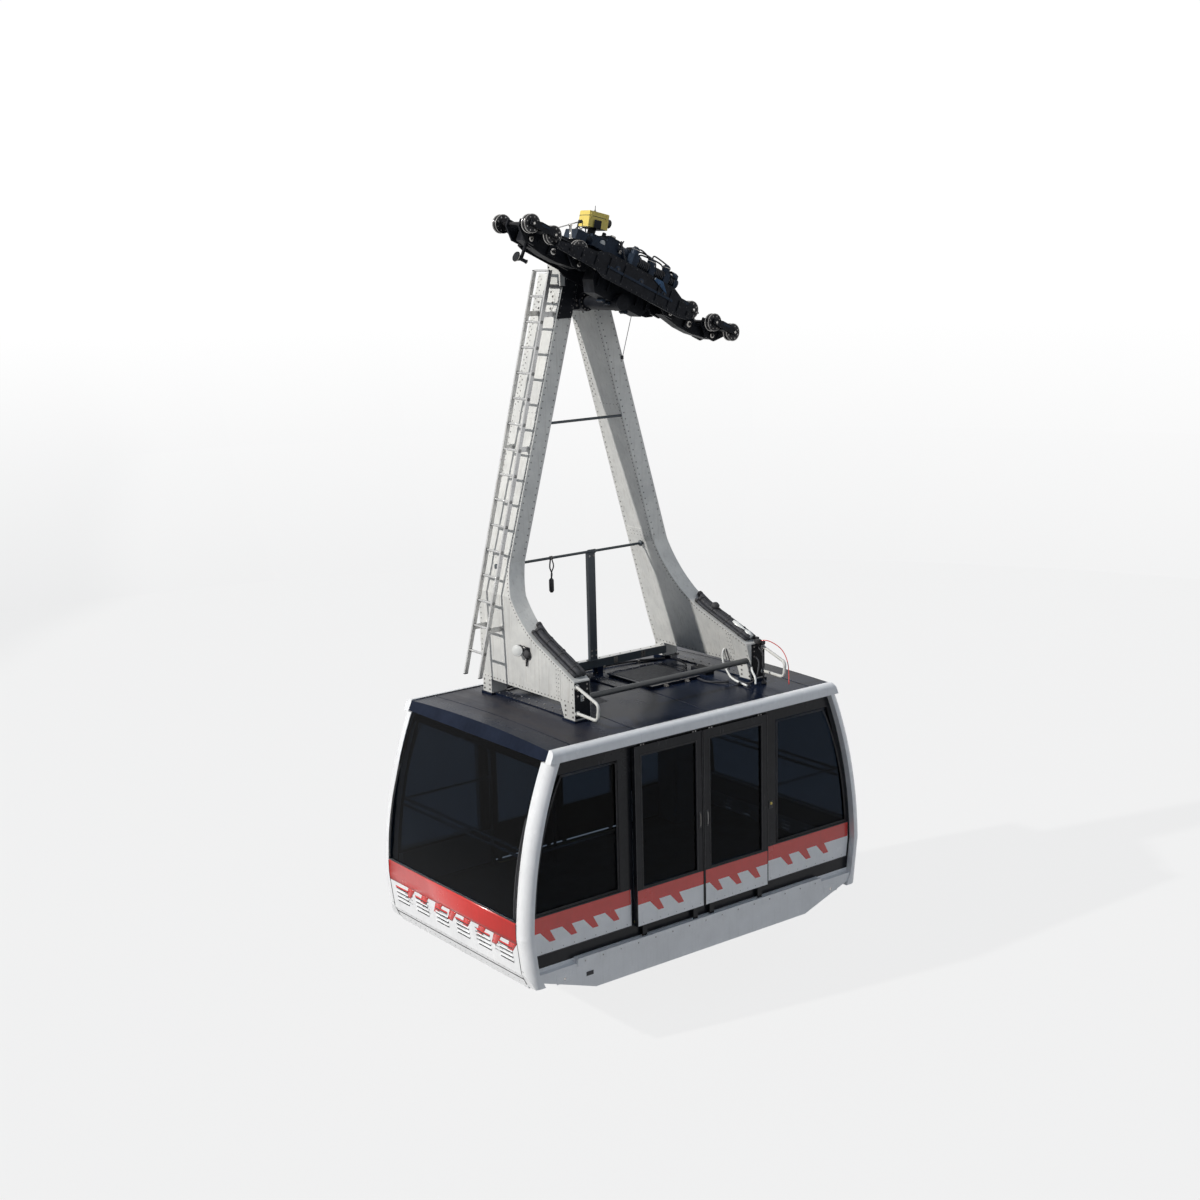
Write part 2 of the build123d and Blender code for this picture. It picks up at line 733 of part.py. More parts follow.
def step_loops():
    """Bent-tube steps on the toes of both feet."""
    loops = None
    for edge in (-UPHILL_FOOT_X + LOOP_FROM_EDGE, DOWNHILL_FOOT_X - LOOP_FROM_EDGE):
        x = PIN_X + edge
        path = FilletPolyline(
            (x, TOE_Y, ROOF_Z + LOOP_TOP),
            (x, TOE_Y - LOOP_REACH, ROOF_Z + LOOP_TOP - LOOP_REACH / 3),
            (x, TOE_Y - LOOP_REACH + 20, ROOF_Z + LOOP_FOOT - 10),
            (x, TOE_Y, ROOF_Z + LOOP_FOOT),
            radius=LOOP_BEND_R,
        )
        tube = sweep(Plane(origin=path @ 0, z_dir=path % 0) * Circle(LOOP_R), path=path)
        tube -= block(x - 100, x + 100, TOE_Y, TOE_Y + 200, ROOF_Z, ROOF_Z + 2 * LOOP_TOP)
        loops = tube if loops is None else loops + tube
    return loops


add("step_loops", step_loops(), GREY)
LAMP_X = PIN_X - UPHILL_FOOT_X
LAMP_AT = ROOF_Z + 640
SPOT_Y = 200
lamp = rod_x(SPOT_Y, LAMP_AT, 48, LAMP_X - 65, LAMP_X - 16)
lamp += rod_x(SPOT_Y, LAMP_AT, 22, LAMP_X - 16, LAMP_X)
add("leg_lamp", lamp, GREY)


# Cabin
def barrel(inset, half_width, top, bottom):
    """Cabin body between two depths, its bulging ends moved in by inset."""
    (d0, x0), (d1, x1), (d2, x2), (d3, x3), (d4, x4) = END_PROFILE
    right = ThreePointArc((x0 - inset, -d0), (x1 - inset, -d1), (x2 - inset, -d2)) + Polyline(
        (x2 - inset, -d2), (x3 - inset, -d3), (x4 - inset, -d4)
    )
    left = ThreePointArc((inset - x0, -d0), (inset - x1, -d1), (inset - x2, -d2)) + Polyline(
        (inset - x2, -d2), (inset - x3, -d3), (inset - x4, -d4)
    )
    outline = right + left + Line((x0 - inset, -d0), (inset - x0, -d0)) + Line((x4 - inset, -d4), (inset - x4, -d4))
    plane = Plane(origin=(PIN_X, half_width, ROOF_Z), x_dir=(1, 0, 0), z_dir=(0, -1, 0))
    solid = extrude(plane * make_face(outline), 2 * half_width)
    return solid & block(PIN_X - FAR / 2, PIN_X + FAR / 2, -FAR / 5, FAR / 5, below(bottom), below(top))


def window_zone(inset, x_from, top, bottom, y0, y1):
    """Opening between a straight edge at x_from and the bulging end, on both halves."""
    zone = barrel(inset, FAR / 5, top, bottom) & block(PIN_X - FAR / 2, PIN_X + FAR / 2, y0, y1, -DEEP, 0)
    return zone - block(PIN_X - x_from, PIN_X + x_from, y0 - 1, y1 + 1, -DEEP, 0)


def corner_posts():
    """Rounded corner posts of one cabin, cut into the two ends afterwards."""
    shell = barrel(0, HALF_W, 0, SILL_BOTTOM - 30) - barrel(POST_DEPTH, HALF_W + 10, -100, SILL_BOTTOM + 10)
    posts = shell - block(PIN_X - FAR / 2, PIN_X + FAR / 2, -HALF_W + POST_W, HALF_W - POST_W, -DEEP, 0)
    corners = posts.edges().filter_by(
        lambda e: abs(abs(e.center().Y) - HALF_W) < 1 and abs(e.center().X - PIN_X) > 1850 and e.length > 300
    )
    outer = [e for e in corners if abs(e.center().X - PIN_X) > leg_corner_x(e.center().Z) - 20]
    return fillet(outer, CORNER_R)


def leg_corner_x(z):
    """Half length of the cabin at height z, near enough to pick the outer edges."""
    depth = ROOF_Z - z
    for (da, xa), (db, xb) in zip(END_PROFILE, END_PROFILE[1:]):
        if depth <= db:
            return xa + (xb - xa) * (depth - da) / (db - da)
    return END_PROFILE[-1][1]


posts = corner_posts() & block(PIN_X - FAR / 2, PIN_X + FAR / 2, -FAR, FAR, below(FAR), below(TRIM_H))
downhill = block(PIN_X, PIN_X + FAR, -FAR, FAR, -DEEP, 0)
uphill = block(PIN_X - FAR, PIN_X, -FAR, FAR, -DEEP, 0)
for name, half in (("uphill", uphill), ("downhill", downhill)):
    add(f"corner_posts_{name}", posts & half, WHITE)

PANEL_HALF = HALF_W - POST_W
LOUVRE_COLS = 6
LOUVRE_ROWS = 4
LOUVRE_W = 150
LOUVRE_H = 16
LOUVRE_STEP = 42
LOUVRE_TOP = 1960
LOUVRE_PITCH = 340


def end_panel(half):
    """Lower end panel with its rows of louvre slots."""
    panel = barrel(0, PANEL_HALF, END_WINDOW_BOTTOM, SILL_BOTTOM) - barrel(PANEL_T, PANEL_HALF + 5, 0, FAR / 2)
    panel &= half
    for column in range(LOUVRE_COLS):
        y = (column - (LOUVRE_COLS - 1) / 2) * LOUVRE_PITCH
        for row in range(LOUVRE_ROWS):
            z = below(LOUVRE_TOP + row * LOUVRE_STEP)
            slot = block(-FAR, FAR, y - LOUVRE_W / 2, y + LOUVRE_W / 2, z - LOUVRE_H, z)
            panel -= slot
    return panel


def end_window(half):
    """Curved end window, one big pane."""
    pane = barrel(8, PANEL_HALF, ROOF_T, END_WINDOW_BOTTOM) - barrel(8 + GLASS_T, PANEL_HALF + 5, 0, FAR / 2)
    return pane & half


for name, half in (("uphill", uphill), ("downhill", downhill)):
    add(f"end_panel_{name}", end_panel(half), RED)
    add(f"end_window_{name}", end_window(half), GLASS)

# Roof with its crown, the hatch opening and the rounded white edge trims
roof_half = HALF_W - TRIM_W
crown = (
    Line((-roof_half, below(ROOF_T)), (roof_half, below(ROOF_T)))
    + Line((roof_half, below(ROOF_T)), (roof_half, ROOF_Z))
    + ThreePointArc((roof_half, ROOF_Z), (0, ROOF_Z + ROOF_RISE), (-roof_half, ROOF_Z))
    + Line((-roof_half, ROOF_Z), (-roof_half, below(ROOF_T)))
)
roof = plate_yz(crown, PIN_X - FAR / 2, PIN_X + FAR / 2) & barrel(0, roof_half + 10, -70, ROOF_T)
hatch_hole = block(
    PIN_X + HATCH_X - HATCH_L / 2 + COAMING,
    PIN_X + HATCH_X + HATCH_L / 2 - COAMING,
    HATCH_Y - HATCH_W / 2 + COAMING,
    HATCH_Y + HATCH_W / 2 - COAMING,
    below(ROOF_T + 10),
    ROOF_Z + 300,
)
COAMING_TOP = ROOF_Z + ROOF_RISE + COAMING_H
roof += block(
    PIN_X + HATCH_X - HATCH_L / 2,
    PIN_X + HATCH_X + HATCH_L / 2,
    HATCH_Y - HATCH_W / 2,
    HATCH_Y + HATCH_W / 2,
    below(ROOF_T),
    COAMING_TOP,
)
roof -= hatch_hole
for x in (PIN_X - UPHILL_FOOT_X + LEG_DEPTH / 2, PIN_X + DOWNHILL_FOOT_X - LEG_DEPTH / 2):
    roof += block(x - BASE_RAIL_HALF, x + BASE_RAIL_HALF, TOE_Y - 15, HEEL_Y + 15, below(ROOF_T), FOOT_Z)
    for y0, y1 in ((TOE_Y, TOE_IN - TOE_LEAN), (HEEL_IN, HEEL_Y)):
        roof += block(x - 115, x + 115, y0 - 15, y1 + 15, below(ROOF_T), FOOT_Z)
roof += block(PIN_X + RIB_X0, PIN_X + RIB_X1, RIB_Y0, RIB_Y1, below(ROOF_T), ROOF_Z + ROOF_RISE + RIB_H)
for x in (GUARD_POST_X - 500, GUARD_POST_X + 100):
    roof += block(PIN_X + x - 40, PIN_X + x + 40, BEAM_Y0, BEAM_Y1, below(ROOF_T), BEAM_Z0)
add("roof", roof, BLACK)

lid_y = HATCH_Y + HATCH_W / 2 + HATCH_LIP
lid = block(
    PIN_X + HATCH_X - HATCH_L / 2 - HATCH_LIP,
    PIN_X + HATCH_X + HATCH_L / 2 + HATCH_LIP,
    HATCH_Y - HATCH_W / 2 - HATCH_LIP,
    lid_y,
    COAMING_TOP + SEAT,
    COAMING_TOP + HATCH_T,
)
HINGE_Y = lid_y + HINGE_OUT
HINGE_Z = COAMING_TOP + HATCH_T / 2
hinge = None
for x in (PIN_X + HATCH_X - HINGE_PITCH / 2, PIN_X + HATCH_X + HINGE_PITCH / 2):
    lid += rod_x(HINGE_Y, HINGE_Z, HINGE_R, x - HINGE_L / 2, x + HINGE_L / 2)
    lid += block(x - HINGE_L / 2, x + HINGE_L / 2, lid_y - 5, HINGE_Y, HINGE_Z - 4, HINGE_Z + 4)
    lid -= rod_x(HINGE_Y, HINGE_Z, HINGE_PIN_R + SEAT, x - HINGE_L, x + HINGE_L)
    outer = HINGE_L / 2 + 6 + HINGE_LUG
    pair = rod_x(HINGE_Y, HINGE_Z, HINGE_PIN_R, x - outer, x + outer)
    for end in (x - outer, x + outer - HINGE_LUG):
        pair += block(end, end + HINGE_LUG, HINGE_Y - 7, HINGE_Y + 7, ROOF_Z, HINGE_Z + 7)
    hinge = pair if hinge is None else hinge + pair
add("roof_hatch", lid, BLACK)
add("hatch_hinges", hinge - roof, BLACK)


def edge_trim():
    """Rounded white trim along the roof's edge."""
    trim = barrel(0, HALF_W, -10, TRIM_H) - block(-FAR, FAR, -HALF_W + TRIM_W, FAR, -DEEP, 0)
    top = trim.edges().filter_by(lambda e: e.center().Y < -HALF_W + 1 and e.center().Z > ROOF_Z and e.length > 3000)
    trim = fillet(top, 60)
    return trim


add("roof_edge_trims", both_sides(edge_trim), WHITE)


def side_frame():
    """Black side wall between the corner posts, cut for its windows, panels and doorway."""
    y0 = -WALL_OUT
    y1 = -WALL_IN
    wall = barrel(POST_DEPTH + SEAT, FAR / 5, TRIM_H, FLOOR_BOTTOM) & block(-FAR, FAR, y0, y1, -DEEP, 0)
    wall -= block(PIN_X - DOOR_W, PIN_X + DOOR_W, y0 - 1, y1 + 1, below(FLOOR_TOP), below(WINDOW_TOP))
    wall -= window_zone(POST_DEPTH + 60, DOOR_W + JAMB, WINDOW_TOP, SIDE_WINDOW_BOTTOM, y0 - 1, y1 + 1)
    wall -= window_zone(POST_DEPTH + 30, DOOR_W + 30, SIDE_WINDOW_BOTTOM + 20, SIDE_PANEL_BOTTOM, y0 - 1, y1 + 1)
    rail = block(PIN_X - DOOR_W - DOOR_TRAVEL, PIN_X + DOOR_W + DOOR_TRAVEL, y0 - 43, y0, below(TRACK_TOP + TRACK_H), below(TRACK_TOP))
    return wall + rail


near_wall = side_frame()
add("side_wall_near", near_wall, BLACK)
add("side_wall_far", mirror(near_wall, Plane.XZ), BLACK)


def side_windows():
    return window_zone(
        POST_DEPTH + 60 + SEAT, DOOR_W + JAMB, WINDOW_TOP, SIDE_WINDOW_BOTTOM, -GLASS_IN - GLASS_T, -GLASS_IN
    )


def side_panels():
    return window_zone(
        POST_DEPTH + 30 + SEAT, DOOR_W + 30, SIDE_WINDOW_BOTTOM + 20, SIDE_PANEL_BOTTOM, -WALL_OUT, -WALL_IN
    )


add("side_windows", both_sides(side_windows), GLASS)
add("side_panels", both_sides(side_panels), WHITE)


def door_leaf():
    """Near-side leaf on the downhill half: hung on the top rail, guided by fins in the ledge."""
    x0 = PIN_X + DOOR_GAP
    x1 = PIN_X + DOOR_W
    leaf = block(x0, x1, -DOOR_OUT, -DOOR_IN, below(DOOR_BOTTOM), below(DOOR_TOP))
    leaf -= door_pane(0)
    for x in (x0 + 110, x1 - 110):
        leaf += block(x - 30, x + 30, -WALL_OUT - 55, -WALL_OUT - 48, below(DOOR_TOP), below(TRACK_TOP - 8))
        leaf += block(x - 30, x + 30, -WALL_OUT - 55, -WALL_OUT - 22, below(TRACK_TOP - SEAT), below(TRACK_TOP - 8))
        leaf += block(x - 30, x + 30, -WALL_OUT - 42, -WALL_OUT - 34, below(LEDGE_TOP + 18), below(DOOR_BOTTOM))
    return leaf


def door_pane(inset):
    x0 = PIN_X + DOOR_GAP + STILE + inset
    x1 = PIN_X + DOOR_W - STILE - inset
    y_mid = -(DOOR_OUT + DOOR_IN) / 2
    half = GLASS_T / 2 if inset else DOOR_T
    return block(x0, x1, y_mid - half, y_mid + half, below(SIDE_WINDOW_BOTTOM - inset), below(DOOR_TOP + 110 + inset))


near_leaf = door_leaf()
near_pane = door_pane(0.01)
for side, leaf, pane in (
    ("near", near_leaf, near_pane),
    ("far", mirror(near_leaf, Plane.XZ), mirror(near_pane, Plane.XZ)),
):
    add(f"door_{side}_downhill", leaf, BLACK)
    add(f"door_{side}_uphill", mirror(leaf, mirror_x), BLACK)
    add(f"door_glass_{side}_downhill", pane, GLASS)
    add(f"door_glass_{side}_uphill", mirror(pane, mirror_x), GLASS)


def door_ledge():
    """Ledge under the doors with the groove for their guide fins."""
    y0 = -HALF_W
    ledge = block(
        PIN_X - LEDGE_HALF, PIN_X + LEDGE_HALF, y0, -WALL_OUT, below(LEDGE_TOP + LEDGE_H), below(LEDGE_TOP)
    )
    ledge -= block(
        PIN_X - FAR, PIN_X + FAR, -WALL_OUT - 48, -WALL_OUT - 28, below(LEDGE_TOP + 25), below(LEDGE_TOP - 1)
    )
    return ledge


ledges = both_sides(door_ledge)
add("door_ledges", ledges, WHITE)

floor = barrel(PANEL_T + SEAT, WALL_IN, FLOOR_TOP, FLOOR_BOTTOM)
floor -= barrel(0, FAR / 5, 0, FAR) - barrel(POST_DEPTH + SEAT, FAR / 5, 0, FAR) - block(
    -FAR, FAR, -PANEL_HALF, PANEL_HALF, -DEEP, 0
)
add("floor", floor, GREY)


def belly_outline(inset):
    """Lengthwise outline of the belly pan, its walls moved in by inset."""
    end = SKIRT_END_HALF - inset
    top = below(FLOOR_BOTTOM)
    corner = below(SKIRT_END_DROP) + inset
    bottom = below(SKIRT_BOTTOM) + inset
    return [
        (PIN_X - end, top),
        (PIN_X - end, corner),
        (PIN_X - SKIRT_FLAT_HALF, bottom),
        (PIN_X + SKIRT_FLAT_HALF, bottom),
        (PIN_X + end, corner),
        (PIN_X + end, top),
    ]


def underbody():
    """White skirt and belly pan under the floor, rising at both ends."""
    side_y = HALF_W - SKIRT_INSET
    belly = plate_xz(belly_outline(0), -side_y, side_y)
    belly &= barrel(POST_DEPTH + SEAT, HALF_W, 0, FAR / 2) + barrel(PANEL_T + SEAT, PANEL_HALF, 0, FAR / 2)
    belly -= plate_xz(belly_outline(SKIRT_T), -WALL_OUT + SKIRT_T, WALL_OUT - SKIRT_T) & barrel(
        POST_DEPTH + SKIRT_T, HALF_W, 0, FAR / 2
    )
    for side in (-1, 1):
        low, high = sorted((side * WALL_OUT, side * FAR))
        belly -= block(-FAR, FAR, low, high, below(SKIRT_TOP), 0)
    return belly - ledges


add("underbody", underbody(), WHITE)

# Inside: grab rails behind the windows and ceiling lamps
END_RAIL_X = 2095
LAMP_Y = 760
LAMP_HALF = 1500
LAMP_W = 120
LAMP_H = 25
rails = None
for side in (-1, 1):
    for drop in (0, 75):
        x = PIN_X + side * END_RAIL_X
        rail = rod_y(x, below(RAIL_BELOW_ROOF + drop), RAIL_R, -WALL_IN, WALL_IN)
        rails = rail if rails is None else rails + rail
for side in (-1, 1):
    for y in (-WALL_IN + 60, WALL_IN - 60):
        a, b = sorted((PIN_X + side * (DOOR_W + 60), PIN_X + side * END_RAIL_X))
        rails += rod_x(y, below(RAIL_BELOW_ROOF), RAIL_R - 2, a, b)
        out = WALL_IN if y > 0 else -WALL_IN
        y0, y1 = sorted((y, out))
        rails += rod_y(PIN_X + side * (DOOR_W + 80), below(RAIL_BELOW_ROOF), RAIL_R - 4, y0, y1)
add("grab_rails", rails, GREY)

lamps = None
for y in (-LAMP_Y, LAMP_Y):
    strip = block(
        PIN_X - LAMP_HALF, PIN_X + LAMP_HALF, y - LAMP_W / 2, y + LAMP_W / 2, below(ROOF_T + LAMP_H), below(ROOF_T)
    )
    lamps = strip if lamps is None else lamps + strip
add("ceiling_lamps", lamps, WHITE)

os.makedirs("parts", exist_ok=True)
for name, shape in parts.items():
    export_step(shape, f"parts/{name}.step")
print(len(parts), "pieces")
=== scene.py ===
from math import atan2, cos, hypot, pi, radians, sin, sqrt

import bpy
from mathutils import Euler, Matrix, Vector


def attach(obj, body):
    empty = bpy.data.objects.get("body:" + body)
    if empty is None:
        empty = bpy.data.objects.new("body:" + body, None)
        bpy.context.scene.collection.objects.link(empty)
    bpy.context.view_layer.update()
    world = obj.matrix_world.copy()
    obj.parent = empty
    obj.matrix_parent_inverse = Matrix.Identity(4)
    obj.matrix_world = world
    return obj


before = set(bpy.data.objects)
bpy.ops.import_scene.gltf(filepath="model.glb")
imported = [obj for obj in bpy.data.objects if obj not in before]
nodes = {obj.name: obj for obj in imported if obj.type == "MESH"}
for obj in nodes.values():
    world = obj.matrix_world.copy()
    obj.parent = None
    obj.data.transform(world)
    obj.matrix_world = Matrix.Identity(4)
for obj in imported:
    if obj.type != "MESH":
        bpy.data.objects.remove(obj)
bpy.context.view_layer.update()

# Places of the model, in metres
PIN_X = -0.0632  # middle of the cabin and the main pin
PIN_Z = -0.1361
ROOF = -4.321  # height of the roof edge
SLOPE = radians(24.9)  # fall of the ropes
HALF_W = 1.35  # outer face of the door ledges
WALL_Y = 1.275  # outer face of the long walls
DOOR_Y = 1.335  # outer face of the doors and of the skirt
GASKET_X = 1.08  # door side of the gasket round a side pane
ROPE_Y = 0.25  # track ropes, from the middle
WHEEL_Z = 0.098  # axles, over the ropes' centres
SPRING_Z = 0.262  # brake springs, over the same
MOTOR_Z = 0.356  # motor of the power pack, over the same
LEG_FACE = {-1: 1.175, 1: 1.445}  # outer face of each leg's foot, from the pin
LEG_W = 0.2  # a leg from its outer to its inner face
PROFILE = ((0.08, 1.868), (0.8, 2.185), (1.85, 2.325), (2.24, 2.275), (2.6, 2.1))  # depth, half length
TILT = Matrix.Rotation(SLOPE, 4, "Y")
WORLD = Matrix()

# Directions in a piece's own frame
UP = (0, 0, 1)
DOWN = (0, 0, -1)
NEAR = (0, -1, 0)
FAR = (0, 1, 0)
LENGTHWAYS = (1, 0, 0)

# Places of the eight axles along the ropes
AXLES = [s * (1.437 - b * 0.64 - a * 0.284) for s in (-1, 1) for b in (0, 1) for a in (0, 1)]

# Camera
camera = bpy.data.objects.new("camera", bpy.data.cameras.new("camera"))
bpy.context.scene.collection.objects.link(camera)
camera.location = (-11.6768, -14.8862, 0.7867)
camera.rotation_euler = Euler([radians(a) for a in (77.7936, 1.4163, -37.6101)], "XYZ")
camera.data.lens = 53.8097
camera.data.sensor_width = 36.0
camera.data.clip_end = 200
bpy.context.scene.camera = camera
bpy.context.scene.view_settings.view_transform = "Standard"


# Materials
class Nodes:
    """One node tree, with short calls for the nodes that the materials use."""

    def __init__(self, name):
        self.material = bpy.data.materials.new(name)
        self.material.use_nodes = True
        self.tree = self.material.node_tree
        self.shader = self.tree.nodes["Principled BSDF"]
        self.coords = self.tree.nodes.new("ShaderNodeTexCoord").outputs["Object"]

    def link(self, source, target):
        self.tree.links.new(source, target)

    def scaled(self, scale):
        mapping = self.tree.nodes.new("ShaderNodeMapping")
        mapping.inputs["Scale"].default_value = scale
        self.link(self.coords, mapping.inputs["Vector"])
        return mapping.outputs["Vector"]

    def noise(self, scale, detail=5, rough=0.6, stretch=None):
        node = self.tree.nodes.new("ShaderNodeTexNoise")
        node.inputs["Scale"].default_value = scale
        node.inputs["Detail"].default_value = detail
        node.inputs["Roughness"].default_value = rough
        self.link(self.scaled(stretch) if stretch else self.coords, node.inputs["Vector"])
        return node.outputs["Fac"]

    def ramp(self, value, low, high, a=0.0, b=1.0):
        node = self.tree.nodes.new("ShaderNodeMapRange")
        for key, number in (("From Min", low), ("From Max", high), ("To Min", a), ("To Max", b)):
            node.inputs[key].default_value = number
        self.link(value, node.inputs["Value"])
        return node.outputs["Result"]

    def mix(self, factor, a, b):
        """Mixes two colours, each a tuple or a socket."""
        node = self.tree.nodes.new("ShaderNodeMix")
        node.data_type = "RGBA"
        self.link(factor, node.inputs["Factor"])
        for key, colour in (("A", a), ("B", b)):
            socket = [s for s in node.inputs if s.name == key and s.type == "RGBA"][0]
            if isinstance(colour, tuple):
                socket.default_value = (*colour, 1)
            else:
                self.link(colour, socket)
        return [s for s in node.outputs if s.type == "RGBA"][0]

    def maths(self, kind, a, b=None):
        node = self.tree.nodes.new("ShaderNodeMath")
        node.operation = kind
        for socket, value in zip(node.inputs, (a, b)):
            if value is None:
                continue
            if isinstance(value, (int, float)):
                socket.default_value = value
            else:
                self.link(value, socket)
        return node.outputs[0]

    def times(self, a, b):
        return self.maths("MULTIPLY", a, b)

    def plus(self, a, b):
        return self.maths("ADD", a, b)

    def axis(self, name):
        node = self.tree.nodes.new("ShaderNodeSeparateXYZ")
        self.link(self.coords, node.inputs[0])
        return node.outputs[name]

    def normal_axis(self, name):
        geometry = self.tree.nodes.new("ShaderNodeNewGeometry")
        node = self.tree.nodes.new("ShaderNodeSeparateXYZ")
        self.link(geometry.outputs["Normal"], node.inputs[0])
        return node.outputs[name]

    def bump(self, height, distance, strength=1.0):
        node = self.tree.nodes.new("ShaderNodeBump")
        node.inputs["Distance"].default_value = distance
        node.inputs["Strength"].default_value = strength
        self.link(height, node.inputs["Height"])
        self.link(node.outputs["Normal"], self.shader.inputs["Normal"])

    def colour(self, value):
        self.link(value, self.shader.inputs["Base Color"])

    def roughness(self, value):
        self.link(value, self.shader.inputs["Roughness"])

    def constant(self, **values):
        for key, value in values.items():
            self.shader.inputs[key.replace("_", " ")].default_value = value


def painted(name, colour, dirt, rough, dirt_amount=0.5, coat=0.0, gloss=0.5):
    """Paint with faded patches, rain streaks and orange peel."""
    n = Nodes(name)
    patches = n.noise(2.2, 6, 0.65)
    streaks = n.noise(3.0, 5, 0.7, (9, 9, 0.5))
    specks = n.noise(70, 3, 0.7)
    faded = tuple(min(1.0, c * 1.12 + 0.012) for c in colour)
    base = n.mix(n.ramp(patches, 0.35, 0.68), colour, faded)
    grime = n.times(n.ramp(streaks, 0.52, 0.8), 0.5)
    grime = n.plus(grime, n.times(n.ramp(patches, 0.56, 0.82), 0.4))
    grime = n.plus(grime, n.times(n.ramp(specks, 0.66, 0.8), 0.5))
    grime = n.maths("MINIMUM", n.times(grime, dirt_amount), 1.0)
    n.colour(n.mix(grime, base, dirt))
    n.roughness(n.ramp(n.plus(patches, grime), 0.35, 1.2, rough[0], rough[1]))
    n.bump(n.noise(240, 2, 0.5), 0.0004, 0.5)
    n.constant(Metallic=0.0, Coat_Weight=coat, Coat_Roughness=0.08, Specular_IOR_Level=gloss)
    return n.material


def bare_metal(name, colour, dark, rough=(0.3, 0.55), metal=0.75, stain=(0.24, 0.2, 0.16), stain_amount=0.55):
    """Weathered sheet metal: cloudy tarnish, stains that run down and fine scratches."""
    n = Nodes(name)
    cloud = n.noise(3.2, 7, 0.68)
    fine = n.noise(26, 5, 0.7)
    runs = n.noise(4.0, 5, 0.66, (8, 8, 0.45))
    scratches = n.noise(16, 3, 0.6, (26, 26, 1.2))
    base = n.mix(n.ramp(cloud, 0.34, 0.68), dark, colour)
    base = n.mix(n.times(n.ramp(fine, 0.5, 0.72), 0.4), base, dark)
    run = n.times(n.ramp(runs, 0.53, 0.76), stain_amount)
    n.colour(n.mix(run, base, stain))
    n.roughness(n.ramp(n.plus(fine, run), 0.35, 1.1, rough[0], rough[1]))
    n.bump(n.plus(n.times(scratches, 0.5), n.times(cloud, 2.0)), 0.0012, 0.6)
    n.constant(Metallic=metal)
    return n.material


def greasy(name, colour, dust, rough=(0.3, 0.62), metal=0.2):
    """Old machine paint under grease, with dust where it faces up and bare worn spots."""
    n = Nodes(name)
    cloud = n.noise(9, 6, 0.7)
    grit = n.noise(85, 4, 0.75)
    up = n.ramp(n.normal_axis("Z"), 0.3, 1.0)
    base = n.mix(n.ramp(cloud, 0.38, 0.7), colour, tuple(c * 1.9 + 0.006 for c in colour))
    dusty = n.times(up, n.ramp(cloud, 0.4, 0.72, 0.1, 0.75))
    base = n.mix(dusty, base, dust)
    worn = n.times(n.ramp(grit, 0.62, 0.74), n.ramp(cloud, 0.5, 0.64))
    n.colour(n.mix(n.times(worn, 0.7), base, (0.26, 0.25, 0.24)))
    n.roughness(n.ramp(n.plus(grit, dusty), 0.3, 1.2, rough[0], rough[1]))
    n.bump(n.plus(grit, cloud), 0.0016, 0.5)
    n.constant(Metallic=metal, Specular_IOR_Level=0.12)
    return n.material


def rubber(name, colour=(0.018, 0.018, 0.02)):
    n = Nodes(name)
    n.colour(n.mix(n.ramp(n.noise(30, 5, 0.7), 0.4, 0.75), colour, tuple(c * 2.6 for c in colour)))
    n.roughness(n.ramp(n.noise(60, 3), 0.3, 0.7, 0.55, 0.8))
    n.bump(n.noise(300, 2), 0.0004, 0.5)
    return n.material


def glass(name, tint, rough=0.0):
    """Tinted safety glass with a trace of dust in its gloss."""
    n = Nodes(name)
    dust = n.ramp(n.noise(5, 5, 0.7, (1, 1, 0.6)), 0.45, 0.85, rough, rough + 0.05)
    n.roughness(dust)
    n.colour(n.mix(n.ramp(n.noise(1.6, 3), 0.3, 0.7), tint, tuple(c * 0.92 for c in tint)))
    n.constant(Transmission_Weight=1.0, IOR=1.12, Specular_IOR_Level=0.015)
    return n.material


def roof_paint():
    """Dark glossy roof with a blue tint that is a painted reflection of the sky: fine grit, standing-water
    marks and brown dust towards the uphill end.
    """
    n = Nodes("roof_paint")
    cloud = n.noise(1.7, 7, 0.68)
    marks = n.noise(1.3, 6, 0.7, (3.0, 0.7, 1))
    grit = n.noise(150, 3, 0.7)
    # Base colour: the dark is the roof's paint, the blue tint is a painted reflection of the sky.
    base = n.mix(n.ramp(cloud, 0.35, 0.7), (0.004, 0.008, 0.02), (0.014, 0.021, 0.042))
    band = n.ramp(n.maths("ABSOLUTE", n.maths("SUBTRACT", n.axis("X"), PIN_X - 1.42)), 0.1, 0.42, 1.0, 0.0)
    dust = n.times(band, n.ramp(marks, 0.36, 0.62, 0.15, 0.7))
    dust = n.maths("MAXIMUM", dust, n.times(n.ramp(marks, 0.56, 0.8), 0.35))
    dust = n.times(dust, n.ramp(n.normal_axis("Z"), 0.6, 0.95))
    n.colour(n.mix(dust, base, (0.075, 0.068, 0.068)))
    n.roughness(n.ramp(n.plus(cloud, dust), 0.35, 1.2, 0.16, 0.5))
    n.bump(n.plus(n.times(grit, 0.4), cloud), 0.0015, 0.5)
    n.constant(Specular_IOR_Level=0.06)
    return n.material


def treads(name, colour):
    """Grey floor covering with rows of small round studs."""
    n = Nodes(name)
    studs = n.tree.nodes.new("ShaderNodeTexVoronoi")
    studs.inputs["Scale"].default_value = 28
    studs.inputs["Randomness"].default_value = 0.0
    n.link(n.coords, studs.inputs["Vector"])
    cloud = n.noise(4, 6, 0.7)
    n.colour(n.mix(n.ramp(cloud, 0.35, 0.7), colour, tuple(c * 0.5 for c in colour)))
    n.roughness(n.ramp(cloud, 0.3, 0.7, 0.45, 0.75))
    n.bump(n.ramp(studs.outputs["Distance"], 0.25, 0.4, 1.0, 0.0), 0.0015, 0.8)
    return n.material


